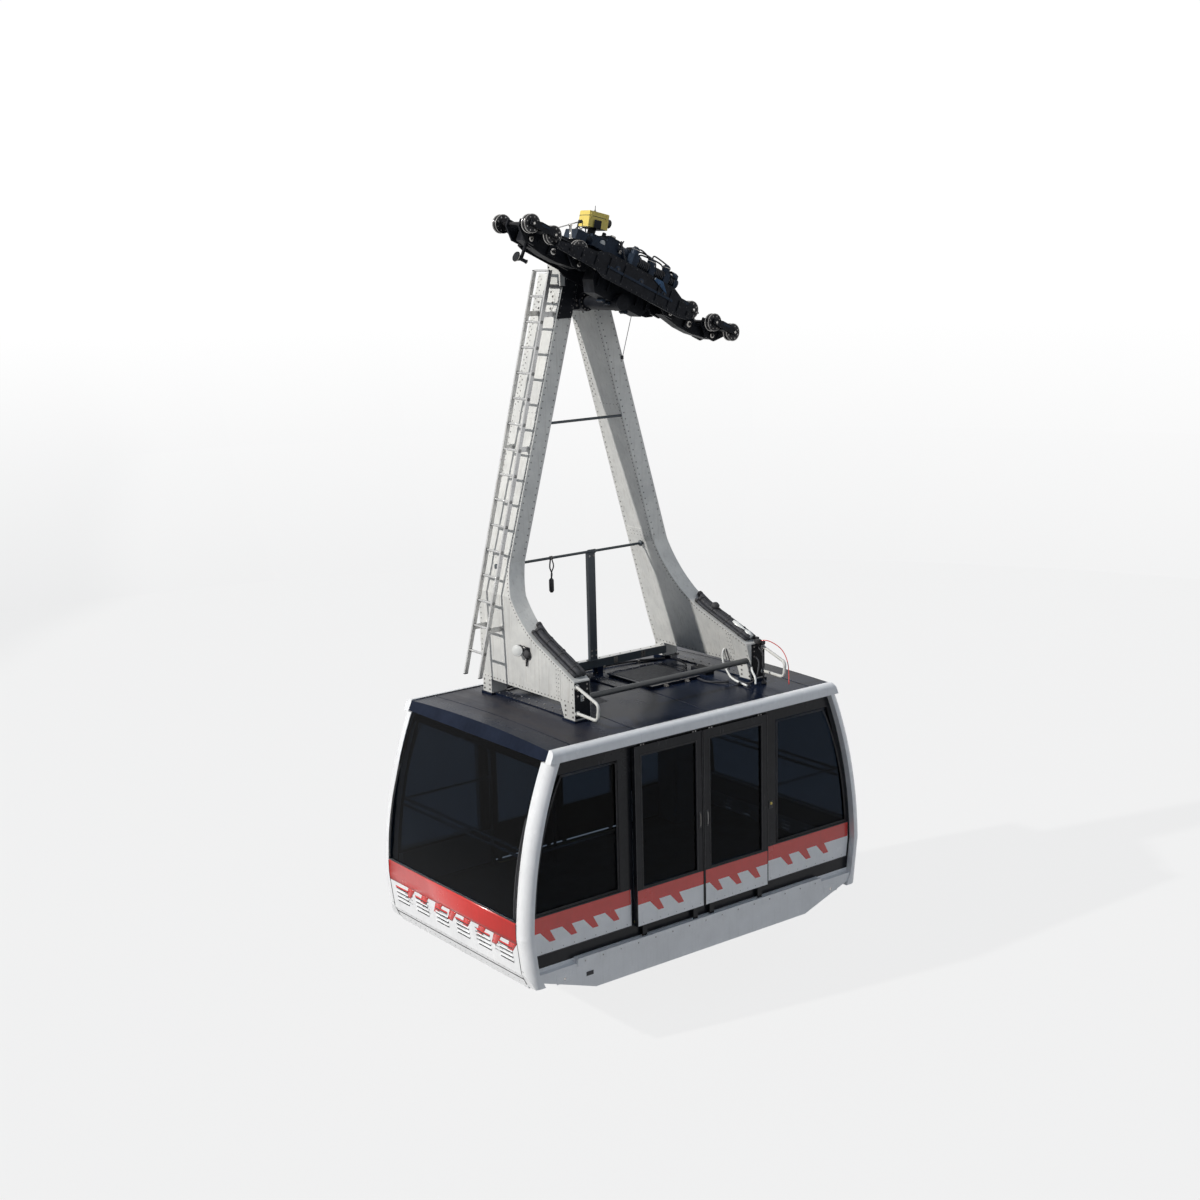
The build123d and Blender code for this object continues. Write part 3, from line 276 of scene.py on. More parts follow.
M = {
    "alloy": bare_metal(
        "alloy", (0.76, 0.76, 0.73), (0.6, 0.605, 0.59), (0.42, 0.62), 0.2, stain_amount=0.35
    ),
    "alloy_dark": bare_metal("alloy_dark", (0.36, 0.36, 0.36), (0.2, 0.21, 0.22), metal=0.6),
    "rivet": bare_metal("rivet", (0.36, 0.36, 0.35), (0.14, 0.14, 0.14), (0.3, 0.5), 0.5),
    "ladder": bare_metal("ladder", (0.68, 0.68, 0.67), (0.5, 0.5, 0.5), (0.25, 0.45), 0.6),
    "carriage": greasy("carriage", (0.007, 0.008, 0.011), (0.04, 0.038, 0.037), (0.4, 0.7), 0.1),
    "carriage_blue": greasy("carriage_blue", (0.012, 0.02, 0.034), (0.06, 0.07, 0.085), (0.35, 0.65), 0.1),
    "blue_plate": greasy("blue_plate", (0.035, 0.075, 0.14), (0.12, 0.15, 0.19), (0.35, 0.6), 0.1),
    "dark_bolt": greasy("dark_bolt", (0.035, 0.035, 0.037), (0.08, 0.078, 0.075), (0.35, 0.6), 0.4),
    "wheel": greasy("wheel", (0.022, 0.022, 0.024), (0.06, 0.057, 0.052), (0.25, 0.5), 0.5),
    "worn": bare_metal("worn", (0.55, 0.54, 0.52), (0.25, 0.24, 0.23), (0.16, 0.34), 0.95),
    "rail_paint": painted("rail_paint", (0.035, 0.048, 0.06), (0.12, 0.11, 0.1), (0.35, 0.6), 0.5),
    "tube_paint": painted("tube_paint", (0.055, 0.058, 0.06), (0.16, 0.15, 0.13), (0.35, 0.6), 0.6),
    "pale_paint": painted("pale_paint", (0.6, 0.6, 0.57), (0.2, 0.16, 0.12), (0.35, 0.6), 0.7),
    "white": painted("white", (0.8, 0.81, 0.82), (0.3, 0.28, 0.25), (0.2, 0.42), 0.3, coat=0.35),
    "red": painted("red", (0.62, 0.018, 0.012), (0.2, 0.03, 0.025), (0.2, 0.4), 0.35, coat=0.35),
    "black": painted("black", (0.007, 0.008, 0.011), (0.03, 0.029, 0.03), (0.2, 0.4), 0.45, gloss=0.18),
    "yellow": painted("yellow", (0.82, 0.64, 0.14), (0.25, 0.2, 0.1), (0.35, 0.6), 0.6),
    "inside": painted("inside", (0.3, 0.31, 0.32), (0.12, 0.11, 0.1), (0.4, 0.6), 0.4),
    "roof": roof_paint(),
    "rubber": rubber("rubber"),
    "hose": rubber("hose", (0.014, 0.015, 0.019)),
    "bolt": bare_metal("bolt", (0.4, 0.4, 0.4), (0.14, 0.13, 0.12), (0.25, 0.5), 0.8, (0.16, 0.09, 0.05)),
    "floor": treads("floor", (0.12, 0.125, 0.13)),
    "glass": glass("glass", (0.075, 0.098, 0.128)),
    "rail_metal": bare_metal(
        "rail_metal", (0.6, 0.6, 0.6), (0.45, 0.45, 0.45), (0.15, 0.3), 0.9, stain_amount=0.1
    ),
    "lens_front": glass("lens_front", (0.9, 0.92, 0.93), 0.12),
    "grit": rubber("grit", (0.03, 0.031, 0.034)),
    "stain": painted("stain", (0.42, 0.3, 0.09), (0.16, 0.1, 0.05), (0.5, 0.7), 0.7),
    "lamp_white": painted("lamp_white", (0.75, 0.76, 0.74), (0.4, 0.38, 0.33), (0.3, 0.5), 0.3),
}

PLACES = ("near_uphill", "near_downhill", "far_uphill", "far_downhill")
DRESS = {
    # hanger_pin and hanger_head take the carriage's near-black paint as painted shade: the carriage's shadow
    # over the top of the hanger.
    "carriage": "bogie_frames rocker_beams main_girder haul_rope_guide floodlight_stand hanger_pin"
    " hanger_head leg_lamp",
    "carriage_blue": "rope_brakes power_pack",
    "wheel": " ".join(f"rope_wheels_{n}" for n in range(1, 9)),
    "yellow": "floodlight_housing",
    "alloy": "leg_uphill_web leg_uphill_flanges leg_downhill_web leg_downhill_flanges leg_feet",
    "ladder": "ladder_stiles ladder_rungs",
    "rail_paint": "cross_rod guard_rail",
    "tube_paint": "roof_tube",
    "pale_paint": "step_loops",
    "lamp_white": "ceiling_lamps",
    "white": "corner_posts_uphill corner_posts_downhill end_panel_uphill end_panel_downhill"
    " roof_edge_trims side_panels door_ledges underbody",
    "glass": "end_window_uphill end_window_downhill side_windows "
    + " ".join(f"door_glass_{place}" for place in PLACES),
    "black": "side_wall_near side_wall_far " + " ".join(f"door_{place}" for place in PLACES),
    "roof": "roof roof_hatch",
    "rail_metal": "grab_rails",
    "floor": "floor",
    "bolt": "hatch_hinges",
    "rubber": "floodlight_lens",
}
for key, names in DRESS.items():
    for name in names.split():
        data = nodes[name].data
        data.materials.clear()
        data.materials.append(M[key])


# Mesh making
class Piece:
    """Collects the faces of one piece of the scene and their materials."""

    def __init__(self, name, body, place=WORLD):
        self.name = name
        self.body = body
        self.place = place
        self.verts = []
        self.faces = []
        self.kinds = []
        self.smooth = []
        self.slots = []

    def slot(self, key):
        if key not in self.slots:
            self.slots.append(key)
        return self.slots.index(key)

    def add(self, shape, key, smooth=False, place=None):
        verts, faces = shape
        start = len(self.verts)
        place = place or self.place
        verts = [place @ Vector(v) for v in verts]
        self.verts += [tuple(v) for v in verts]
        self.faces += [[i + start for i in f] for f in faces]
        self.kinds += [self.slot(key)] * len(faces)
        self.smooth += [smooth] * len(faces)

    def box(self, low, high, key, edge=0.0015):
        self.add(cuboid(low, high, edge), key)

    def bolt(self, centre, direction, r, key="dark_bolt"):
        self.add(bolt(centre, direction, r), key)

    def rivet(self, centre, direction, r, key="bolt"):
        self.add(rivet(centre, direction, r), key, True)

    def turn(self, profile, centre, direction, sides, key, smooth=True):
        self.add(turned(profile, centre, direction, sides), key, smooth)

    def tube(self, points, radius, sides, key, closed=False, smooth=True):
        self.add(tube(points, radius, sides, closed), key, smooth)

    def hose(self, points, radius, key="hose", sides=8, steps=6):
        self.tube(smooth_path(points, steps), radius, sides, key)

    def ring(self, centre, direction, radius, r, key, count=24, sides=6):
        self.add(turned_ring(centre, direction, radius, r, count, sides), key, True)

    def build(self):
        mesh = bpy.data.meshes.new(self.name)
        mesh.from_pydata(self.verts, [], self.faces)
        for key in self.slots:
            mesh.materials.append(M[key])
        mesh.polygons.foreach_set("material_index", self.kinds)
        mesh.polygons.foreach_set("use_smooth", self.smooth)
        mesh.validate()
        mesh.update()
        piece = bpy.data.objects.new(self.name, mesh)
        bpy.context.scene.collection.objects.link(piece)
        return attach(piece, self.body)


def cuboid(low, high, edge=0.0015):
    """A box with bevelled edges."""
    low, high = [sorted(pair)[0] for pair in zip(low, high)], [sorted(pair)[1] for pair in zip(low, high)]
    edge = min([edge] + [(h - l) * 0.35 for l, h in zip(low, high)])
    corners = [(x, y, z) for x in (0, 1) for y in (0, 1) for z in (0, 1)]
    verts = []
    index = {}
    for corner in corners:
        for axis in range(3):
            inward = [0 if a == axis else edge for a in range(3)]
            index[(*corner, axis)] = len(verts)
            verts.append([h - i if s else l + i for l, h, i, s in zip(low, high, inward, corner)])
    faces = []
    for axis in range(3):
        a, b = [k for k in range(3) if k != axis]
        for s in (0, 1):
            ring = []
            for p, q in ((0, 0), (1, 0), (1, 1), (0, 1)):
                corner = [0, 0, 0]
                corner[axis], corner[a], corner[b] = s, p, q
                ring.append(index[(*corner, axis)])
            faces.append(ring if (s == 1) == (axis != 1) else ring[::-1])
        for p in (0, 1):
            for q in (0, 1):
                ends = []
                for s in (0, 1):
                    corner = [0, 0, 0]
                    corner[axis], corner[a], corner[b] = s, p, q
                    ends.append(tuple(corner))
                ring = [
                    index[(*ends[0], a)], index[(*ends[1], a)], index[(*ends[1], b)],
                    index[(*ends[0], b)],
                ]
                faces.append(ring if (p == q) == (axis == 1) else ring[::-1])
    for corner in corners:
        ring = [index[(*corner, axis)] for axis in range(3)]
        faces.append(ring if sum(corner) % 2 == 1 else ring[::-1])
    return verts, faces


def frame_of(direction):
    """Two unit vectors square to a direction."""
    direction = Vector(direction).normalized()
    side = direction.cross(Vector(UP))
    if side.length < 1e-3:
        side = direction.cross(Vector(FAR))
    side.normalize()
    return direction, side, direction.cross(side).normalized()


def tube(points, radius, sides=10, closed=False, caps=True):
    """A round tube along points, with steady turning."""
    points = [Vector(p) for p in points]
    count = len(points)
    verts = []
    faces = []
    _, side, _ = frame_of(points[1] - points[0])
    for i, p in enumerate(points):
        before = points[i - 1] if (i > 0 or closed) else p
        after = points[(i + 1) % count] if (i < count - 1 or closed) else p
        along = (after - before).normalized()
        side = (side - along * side.dot(along)).normalized()
        other = along.cross(side)
        r = radius[i] if isinstance(radius, (list, tuple)) else radius
        for k in range(sides):
            angle = 2 * pi * k / sides
            verts.append(p + side * cos(angle) * r + other * sin(angle) * r)
    rings = count if closed else count - 1
    for i in range(rings):
        a, b = i * sides, ((i + 1) % count) * sides
        for k in range(sides):
            n = (k + 1) % sides
            faces.append([a + k, a + n, b + n, b + k])
    if not closed and caps:
        faces.append(list(range(sides))[::-1])
        faces.append([(count - 1) * sides + k for k in range(sides)])
    return verts, faces


def smooth_path(points, steps=6):
    """Catmull-Rom line through points."""
    points = [Vector(p) for p in points]
    full = [2 * points[0] - points[1]] + points + [2 * points[-1] - points[-2]]
    out = []
    for a, b, c, d in zip(full, full[1:], full[2:], full[3:]):
        for k in range(steps):
            t = k / steps
            square = (2 * a - 5 * b + 4 * c - d) * t * t
            out.append(0.5 * ((2 * b) + (c - a) * t + square + (3 * b - a - 3 * c + d) * t**3))
    return out + [points[-1]]


def turned(profile, centre, direction, sides=16):
    """A turned shape: profile is (distance along, radius) from centre in a direction."""
    along, side, other = frame_of(direction)
    centre = Vector(centre)
    verts = []
    faces = []
    for d, r in profile:
        for k in range(sides):
            angle = 2 * pi * k / sides
            verts.append(centre + along * d + (side * cos(angle) + other * sin(angle)) * r)
    for i in range(len(profile) - 1):
        a, b = i * sides, (i + 1) * sides
        for k in range(sides):
            n = (k + 1) % sides
            faces.append([a + k, a + n, b + n, b + k])
    faces.append(list(range(sides))[::-1])
    faces.append([(len(profile) - 1) * sides + k for k in range(sides)])
    return verts, faces


def boss(r, height, top, rise=0.002):
    """Profile of a round cap with a bevelled rim."""
    return [(0, r), (height, r), (height + rise, top)]


def rivet(centre, direction, r):
    return turned([(-0.001, r), (r * 0.35, r * 0.92), (r * 0.62, r * 0.5)], centre, direction, 7)


def bolt(centre, direction, r):
    """Hexagon head on its washer."""
    washer = turned([(-0.001, r * 1.35), (r * 0.18, r * 1.35)], centre, direction, 12)
    head = turned([(r * 0.18, r), (r * 0.8, r), (r * 0.9, r * 0.85)], centre, direction, 6)
    start = len(washer[0])
    return washer[0] + head[0], washer[1] + [[i + start for i in f] for f in head[1]]


def row(piece, a, b, pitch, direction, r):
    """A row of bolts on the carriage, from a to b at about the given pitch."""
    a, b, direction = [TILT @ Vector(v) for v in (a, b, direction)]
    count = max(1, round((b - a).length / pitch))
    for n in range(count + 1):
        piece.add(bolt(a.lerp(b, n / count), direction, r), "dark_bolt", place=WORLD)


def slab(outline, normal, thick):
    """A flat plate with a given outline, thickened along its normal."""
    normal = Vector(normal).normalized()
    front = [Vector(p) + normal * thick for p in outline]
    back = [Vector(p) for p in outline]
    count = len(outline)
    verts = back + front
    faces = [list(range(count))[::-1], [count + k for k in range(count)]]
    for k in range(count):
        n = (k + 1) % count
        faces.append([k, n, count + n, count + k])
    return verts, faces


def sheet(grid):
    """A surface through a grid of points, given as rows."""
    verts = [Vector(p) for line in grid for p in line]
    wide = len(grid[0])
    faces = []
    for i in range(len(grid) - 1):
        for j in range(wide - 1):
            faces.append([i * wide + j, i * wide + j + 1, (i + 1) * wide + j + 1, (i + 1) * wide + j])
    return verts, faces


def circle_through(a, b, c):
    d = 2 * (a[0] * (b[1] - c[1]) + b[0] * (c[1] - a[1]) + c[0] * (a[1] - b[1]))
    sq = [p[0] ** 2 + p[1] ** 2 for p in (a, b, c)]
    x = (sq[0] * (b[1] - c[1]) + sq[1] * (c[1] - a[1]) + sq[2] * (a[1] - b[1])) / d
    y = (sq[0] * (c[0] - b[0]) + sq[1] * (a[0] - c[0]) + sq[2] * (b[0] - a[0])) / d
    return x, y, hypot(a[0] - x, a[1] - y)


ARC = circle_through(*[(x, -depth) for depth, x in PROFILE[:3]])


def end_x(depth):
    """Half length of the cabin at a depth below the roof edge."""
    if depth <= PROFILE[2][0]:
        return ARC[0] + sqrt(max(0.0, ARC[2] ** 2 - (-depth - ARC[1]) ** 2))
    for (da, xa), (db, xb) in zip(PROFILE[2:], PROFILE[3:]):
        if depth <= db:
            return xa + (xb - xa) * (depth - da) / (db - da)
    return PROFILE[-1][1]


def end_point(side, y, depth, out=0.0):
    """A point on the outside of one end, moved out by a little."""
    slope = (end_x(depth + 0.005) - end_x(depth - 0.005)) / 0.01
    length = hypot(1, slope)
    return (PIN_X + side * (end_x(depth) + out / length), y, ROOF - depth + out * slope / length)


def on_slope(x, y, z):
    """A place given along, across and above the ropes."""
    return Vector((x * cos(SLOPE) + z * sin(SLOPE), y, -x * sin(SLOPE) + z * cos(SLOPE)))


def at(x, y, z):
    """A place from the main pin along X, across, and above the roof edge."""
    return Vector((PIN_X + x, y, ROOF + z))


def around(count, radius):
    """Even steps round a circle, as pairs of distances from its centre."""
    angles = [2 * pi * k / count for k in range(count)]
    return [(radius * cos(angle), radius * sin(angle)) for angle in angles]


def turned_ring(centre, direction, radius, r, count=24, sides=6):
    """A round ring of round bar."""
    along, side, other = frame_of(direction)
    points = [
        Vector(centre) + (side * cos(2 * pi * k / count) + other * sin(2 * pi * k / count)) * radius
        for k in range(count)
    ]
    return tube(points, r, sides, closed=True)


def coil(start, end, radius, r, turns, sides=6, steps=14):
    """A coil spring from start to end."""
    start, end = Vector(start), Vector(end)
    _, side, other = frame_of(end - start)
    points = []
    for k in range(turns * steps + 1):
        angle = 2 * pi * k / steps
        points.append(
            start.lerp(end, k / (turns * steps)) + (side * cos(angle) + other * sin(angle)) * radius,
        )
    return tube(points, r, sides)


def skin(outer, inner):
    """A thin closed skin between two grids of points of the same size."""
    rows, wide = len(outer), len(outer[0])
    verts = [Vector(p) for line in outer for p in line] + [Vector(p) for line in inner for p in line]
    base = rows * wide
    faces = []
    for i in range(rows - 1):
        for j in range(wide - 1):
            quad = [i * wide + j, i * wide + j + 1, (i + 1) * wide + j + 1, (i + 1) * wide + j]
            faces.append(quad)
            faces.append([base + k for k in quad[::-1]])
    ring = list(range(wide)) + [i * wide + wide - 1 for i in range(1, rows)]
    ring += [(rows - 1) * wide + j for j in range(wide - 2, -1, -1)]
    ring += [i * wide for i in range(rows - 2, 0, -1)]
    for a, b in zip(ring, ring[1:] + ring[:1]):
        faces.append([a, base + a, base + b, b])
    return verts, faces


# Wheels: clamped rims, hub bolts and grease caps
for number, u in enumerate(AXLES, 1):
    wheel = Piece(f"wheel_detail_{number}", f"axle_{number}")
    for s in (-1, 1):
        for face in (-1, 1):
            y = s * ROPE_Y + face * 0.031
            centre = on_slope(u, y, WHEEL_Z)
            rim = on_slope(u, s * ROPE_Y + face * 0.0255, WHEEL_Z)
            wheel.ring(rim, FAR, 0.0895, 0.006, "worn", 32, 8)
            wheel.ring(centre, FAR, 0.05, 0.0025, "wheel", 24, 6)
            for a, b in around(8, 0.068):
                wheel.bolt(on_slope(u + a, y, WHEEL_Z + b), (0, face, 0), 0.0062, "bolt")
        cap = on_slope(u, s * 0.318, WHEEL_Z)
        wheel.turn([(0, 0.015), (0.004, 0.015), (0.008, 0.007), (0.014, 0.004)], cap, (0, s, 0), 12, "worn")
    wheel.build()

# Carriage
frames = Piece("bogie_fittings", "carriage", TILT)
for u in AXLES:
    for s in (-1, 1):
        for dz in (-1, 1):
            low = (u - 0.02, s * 0.314, WHEEL_Z + dz * 0.0195 - 0.003)
            high = (u + 0.02, s * 0.3195, WHEEL_Z + dz * 0.0195 + 0.003)
            frames.box(low, high, "dark_bolt")
        for du in (-0.028, 0.028):
            frames.bolt((u + du, s * 0.314, WHEEL_Z), (0, s, 0), 0.006)
            frames.bolt((u + du, s * 0.12, WHEEL_Z), (0, s, 0), 0.008)
for u in [s * (1.295 - b * 0.64) for s in (-1, 1) for b in (0, 1)]:
    for s in (-1, 1):
        frames.turn(boss(0.028, 0.004, 0.02), (u, s * 0.132, 0), (0, s, 0), 16, "worn", False)
        frames.bolt((u, s * 0.138, 0), (0, s, 0), 0.009)
        frames.box((u - 0.05, s * 0.314, 0.11), (u + 0.05, s * 0.3165, 0.135), "carriage_blue")
        for du in (-0.09, 0.09):
            frames.box((u + du - 0.006, s * 0.12, 0.0), (u + du + 0.006, s * 0.129, 0.12), "carriage")
        y0, y1 = s * ROPE_Y - 0.02, s * ROPE_Y + 0.02
        wiper = [(u - 0.142, y0, 0.045), (u - 0.142, y1, 0.045), (u - 0.128, y1, 0.06), (u - 0.128, y0, 0.06)]
        frames.add(slab(wiper, (1, 0, 1), 0.006), "rubber")
frames.build()

plates = Piece("side_plate_fittings", "carriage", TILT)
TOP_EDGE = ((-1.12, 0.06), (-0.7, 0.13), (-0.48, 0.2), (0.44, 0.2), (0.6, 0.13), (0.8, 0.04))
LOW_EDGE = (
    (-1.12, 0.0), (-1.06, -0.018), (-0.56, -0.024), (-0.47, -0.06), (0.6, -0.06), (0.72, -0.04),
    (0.8, 0.0),
)


def on_line(line, x):
    for (xa, za), (xb, zb) in zip(line, line[1:]):
        if x <= xb:
            return za + (zb - za) * (x - xa) / (xb - xa)
    return line[-1][1]


for s in (-1, 1):
    y = s * 0.34
    for line, inward in ((TOP_EDGE, -0.022), (LOW_EDGE, 0.022)):
        for (xa, za), (xb, zb) in zip(line, line[1:]):
            a, b = (xa + 0.012, y, za + inward), (xb - 0.012, y, zb + inward)
            row(plates, a, b, 0.075, (0, s, 0), 0.0065)
    for x in (-0.96, -0.8, -0.62, -0.44, -0.24, 0.24, 0.42, 0.56, 0.7):
        low = on_line(LOW_EDGE, x) + 0.04
        high = on_line(TOP_EDGE, x) - 0.04
        plates.box((x - 0.006, y, low), (x + 0.006, y + s * 0.014, high), "carriage")
        plates.bolt((x + 0.022, y, (low + high) / 2), (0, s, 0), 0.009)
    plates.box((-0.46, y, 0.05), (0.46, y + s * 0.012, 0.075), "carriage_blue")
    for x in (-0.33, 0.0, 0.33):
        plates.turn(boss(0.034, 0.006, 0.02), (x, y, 0.085), (0, s, 0), 18, "carriage_blue", False)
        plates.bolt((x, y + s * 0.008, 0.085), (0, s, 0), 0.012)
plates.add(
    slab(
        [(0.15, -0.345, 0.17), (0.36, -0.345, 0.1), (0.27, -0.345, 0.195), (0.16, -0.345, 0.197)],
        NEAR, 0.006,
    ),
    "blue_plate",
)
plates.tube([(0.15, -0.352, 0.172), (0.16, -0.352, 0.195)], 0.005, 8, "pale_paint", smooth=False)
plates.build()

brakes = Piece("brake_detail", "carriage", TILT)
for s in (-1, 1):
    y = s * ROPE_Y
    for a, b in ((-0.082, 0.082), (0.158, 0.292), (0.372, 0.438)):
        turns = round((b - a) / 0.024)
        brakes.add(coil((a, y, SPRING_Z), (b, y, SPRING_Z), 0.0555, 0.0068, turns), "dark_bolt", True)
    for x, top in ((-0.12, 0.395), (0.12, 0.365), (0.33, 0.385)):
        brakes.turn(
            [(0, 0.03), (0.01, 0.03), (0.013, 0.022), (0.02, 0.012)], (x, y, top), UP, 16,
            "dark_bolt",
        )
        brakes.ring((x, y, top - 0.018), UP, 0.043, 0.004, "worn")
        for dx in (-0.026, 0.026):
            for dz in (0.16, 0.2):
                brakes.bolt((x + dx, y + s * 0.056, dz), (0, s, 0), 0.007)
                brakes.bolt((x + dx, y - s * 0.056, dz), (0, -s, 0), 0.007)
    brakes.turn(
        [(0, 0.05), (0.006, 0.05), (0.012, 0.03), (0.03, 0.014)], (0.5, y, SPRING_Z), LENGTHWAYS, 18,
        "worn",
    )
    for dy in (-0.038, 0.038):
        brakes.tube([(0.37, y + dy, 0.322), (0.475, y + dy, 0.322)], 0.007, 8, "worn")
        brakes.bolt((0.47, y + dy, 0.322), LENGTHWAYS, 0.009)
    brakes.box((-0.2, y - 0.03, 0.132), (-0.165, y + 0.03, 0.19), "carriage_blue")
    feed = [(-0.12, y - s * 0.02, 0.41), (-0.1, y - s * 0.06, 0.425), (-0.04, y - s * 0.1, 0.4)]
    brakes.hose(feed + [(-0.02, s * 0.1, 0.36)], 0.008)
    feed = [(0.12, y, 0.38), (0.16, y - s * 0.04, 0.43), (0.24, y - s * 0.02, 0.42), (0.33, y, 0.4)]
    brakes.hose(feed, 0.008)
    cover = []
    for k in range(9):
        angle = pi * k / 8
        cover.append([(0.395 + 0.07 * i, y + 0.066 * cos(angle), 0.30 + 0.066 * sin(angle)) for i in (0, 1)])
    inner = [[(x, y + (yy - y) * 0.93, 0.30 + (z - 0.30) * 0.93) for x, yy, z in line] for line in cover]
    brakes.add(skin(cover, inner), "carriage_blue", True)
brakes.build()

pack = Piece("power_pack_detail", "carriage", TILT)
for k in range(11):
    x = -0.07 + k * 0.008
    pack.ring((x, 0, MOTOR_Z), LENGTHWAYS, 0.066, 0.0022, "carriage_blue", 28, 4)
pack.turn(
    [(0, 0.06), (0.02, 0.058), (0.03, 0.045), (0.034, 0.02)], (0.12, 0, MOTOR_Z), LENGTHWAYS, 24,
    "carriage_blue",
)
for a, b in around(8, 0.048):
    pack.bolt((0.141, a, MOTOR_Z + b), LENGTHWAYS, 0.005)
pack.box((-0.03, -0.045, 0.415), (0.06, 0.045, 0.452), "carriage", 0.004)
for x0, x1, top in ((-0.6, -0.4, 0.35), (-0.4, -0.25, 0.41)):
    pack.box((x0 - 0.004, -0.126, top), (x1 + 0.002, 0.126, top + 0.008), "carriage_blue", 0.003)
    for y in (-0.11, 0.11):
        row(pack, (x0 + 0.02, y, top + 0.008), (x1 - 0.02, y, top + 0.008), 0.05, UP, 0.006)
pack.turn(
    [(0, 0.026), (0.012, 0.026), (0.014, 0.032), (0.03, 0.032), (0.034, 0.024)], (-0.31, -0.06, 0.418),
    UP, 16, "worn",
)
pack.turn(boss(0.022, 0.05, 0.016, 0.006), (-0.34, 0.06, 0.418), UP, 16, "carriage")
pack.turn(boss(0.032, 0.016, 0.026), (-0.46, -0.12, 0.31), NEAR, 20, "pale_paint")
for k, y in enumerate((-0.09, -0.05, -0.01, 0.03)):
    x = -0.19 + 0.02 * (k % 2)
    pack.box((x - 0.014, y - 0.014, 0.295), (x + 0.014, y + 0.014, 0.345), "worn", 0.003)
    loop = [(x, y, 0.345), (x - 0.01, y, 0.4), (-0.22, y - 0.05, 0.43), (-0.24, -0.16, 0.38)]
    pack.hose(loop + [(-0.2, -0.19, 0.3), (-0.15 + k * 0.03, -0.2, 0.2)], 0.0075)
for k, (x, dx) in enumerate(((0.02, 0.1), (0.05, 0.16), (0.09, 0.22))):
    for s in (-1, 1):
        loop = [(x, s * 0.05, 0.41), (x + 0.02, s * 0.11, 0.45 - 0.02 * k), (x + dx, s * 0.17, 0.4)]
        pack.hose(loop + [(x + dx + 0.02, s * 0.2, 0.3), (x + dx, s * 0.2, 0.15)], 0.0085)
drum = (0.17, 0.0, 0.31)
pack.turn(
    [
        (-0.07, 0.07), (-0.06, 0.078), (-0.052, 0.078), (-0.05, 0.056), (0.05, 0.056), (0.052, 0.078),
        (0.06, 0.078), (0.07, 0.07),
    ],
    drum, FAR, 28, "carriage_blue",
)
pack.box((0.13, -0.09, 0.234), (0.21, -0.075, 0.31), "carriage")
pack.box((0.13, 0.075, 0.234), (0.21, 0.09, 0.31), "carriage")
for k in range(5):
    pack.ring((0.17, -0.038 + 0.019 * k, 0.31), FAR, 0.063, 0.0085, "hose", 28, 6)
pack.box((-0.76, -0.1, 0.33), (-0.66, 0.1, 0.338), "pale_paint", 0.003)
for y in (-0.05, 0.05):
    pack.turn(boss(0.012, 0.02, 0.008, 0.004), (-0.71, y, 0.338), UP, 12, "worn")
    lead = [(-0.71, y, 0.36), (-0.68, y, 0.395), (-0.63, y * 0.6, 0.36), (-0.6, y * 0.5, 0.32)]
    pack.hose(lead, 0.006)
for x in (0.24, 0.3, 0.36):
    pack.box((x, -0.07, 0.2), (x + 0.03, 0.07, 0.215 + 0.03 * (x < 0.35)), "carriage_blue")
    pack.bolt((x + 0.015, 0, 0.246 if x < 0.35 else 0.216), UP, 0.008)
pack.build()

clamp = Piece("haul_rope_clamp", "carriage", TILT)
for x in (-0.16, -0.08, 0.0, 0.08, 0.16):
    clamp.box((x - 0.022, -0.05, -0.205), (x + 0.022, 0.05, -0.175), "carriage_blue", 0.004)
    for y in (-0.034, 0.034):
        clamp.bolt((x, y, -0.205), DOWN, 0.008)
clamp.build()

arms = Piece("girder_fittings", "carriage", TILT)
for s in (-1, 1):
    for k in range(9):
        x = 0.45 + 0.075 * k
        arms.bolt((s * x, -0.09, 0.158), NEAR, 0.007)
        arms.bolt((s * x, 0.09, 0.158), FAR, 0.007)
    for x in (0.5, 0.7, 0.9):
        arms.box((s * x - 0.012, -0.1, 0.15), (s * x + 0.012, -0.092, 0.19), "carriage")
    line = [(s * 0.4, -0.1, 0.17), (s * 0.6, -0.102, 0.165), (s * 0.85, -0.102, 0.162)]
    arms.hose(line + [(s * 1.02, -0.102, 0.155)], 0.007)
    for y in (-1, 1):
        arms.turn(boss(0.034, 0.006, 0.024, 0.003), (s * 0.975, y * 0.092, 0), (0, y, 0), 20, "worn")
        arms.bolt((s * 0.975, y * 0.1, 0), (0, y, 0), 0.012)
for a, b in around(10, 0.072):
    arms.bolt((a, -0.14, -0.15 + b), NEAR, 0.0075)
for x in (-0.34, -0.2, 0.2, 0.34):
    for y in (-1, 1):
        arms.box((x - 0.007, y * 0.09, -0.1), (x + 0.007, y * 0.115, 0.2), "carriage")
arms.build()

BOX = TILT @ Matrix.Translation((-0.56, 0, 0.512)) @ Matrix.Rotation(radians(-12), 4, "Y")
lamp = Piece("floodlight_fittings", "carriage", BOX)
lamp.box((-0.127, -0.087, 0.03), (0.127, 0.087, 0.036), "rubber")
lamp.box((-0.12, -0.08, 0.079), (0.12, 0.08, 0.083), "yellow", 0.003)
for x in (-0.1, 0.1):
    for y in (-1, 1):
        lamp.bolt((x, y * 0.085, 0.055), (0, y, 0), 0.006)
        lamp.box((x - 0.012, y * 0.085, 0.012), (x + 0.012, y * 0.091, 0.062), "yellow")
lamp.turn([(0.125, 0.05), (0.135, 0.05), (0.137, 0.044)], (0, 0, 0.006), LENGTHWAYS, 24, "rubber")
lamp.turn([(0.19, 0.045), (0.2, 0.045), (0.2, 0.04)], (0, 0, 0.006), LENGTHWAYS, 24, "rubber")
lamp.turn([(0.197, 0.04), (0.2005, 0.03), (0.202, 0.01)], (0, 0, 0.006), LENGTHWAYS, 24, "lens_front")
lamp.box((-0.06, -0.1, -0.085), (0.09, 0.1, -0.079), "carriage")
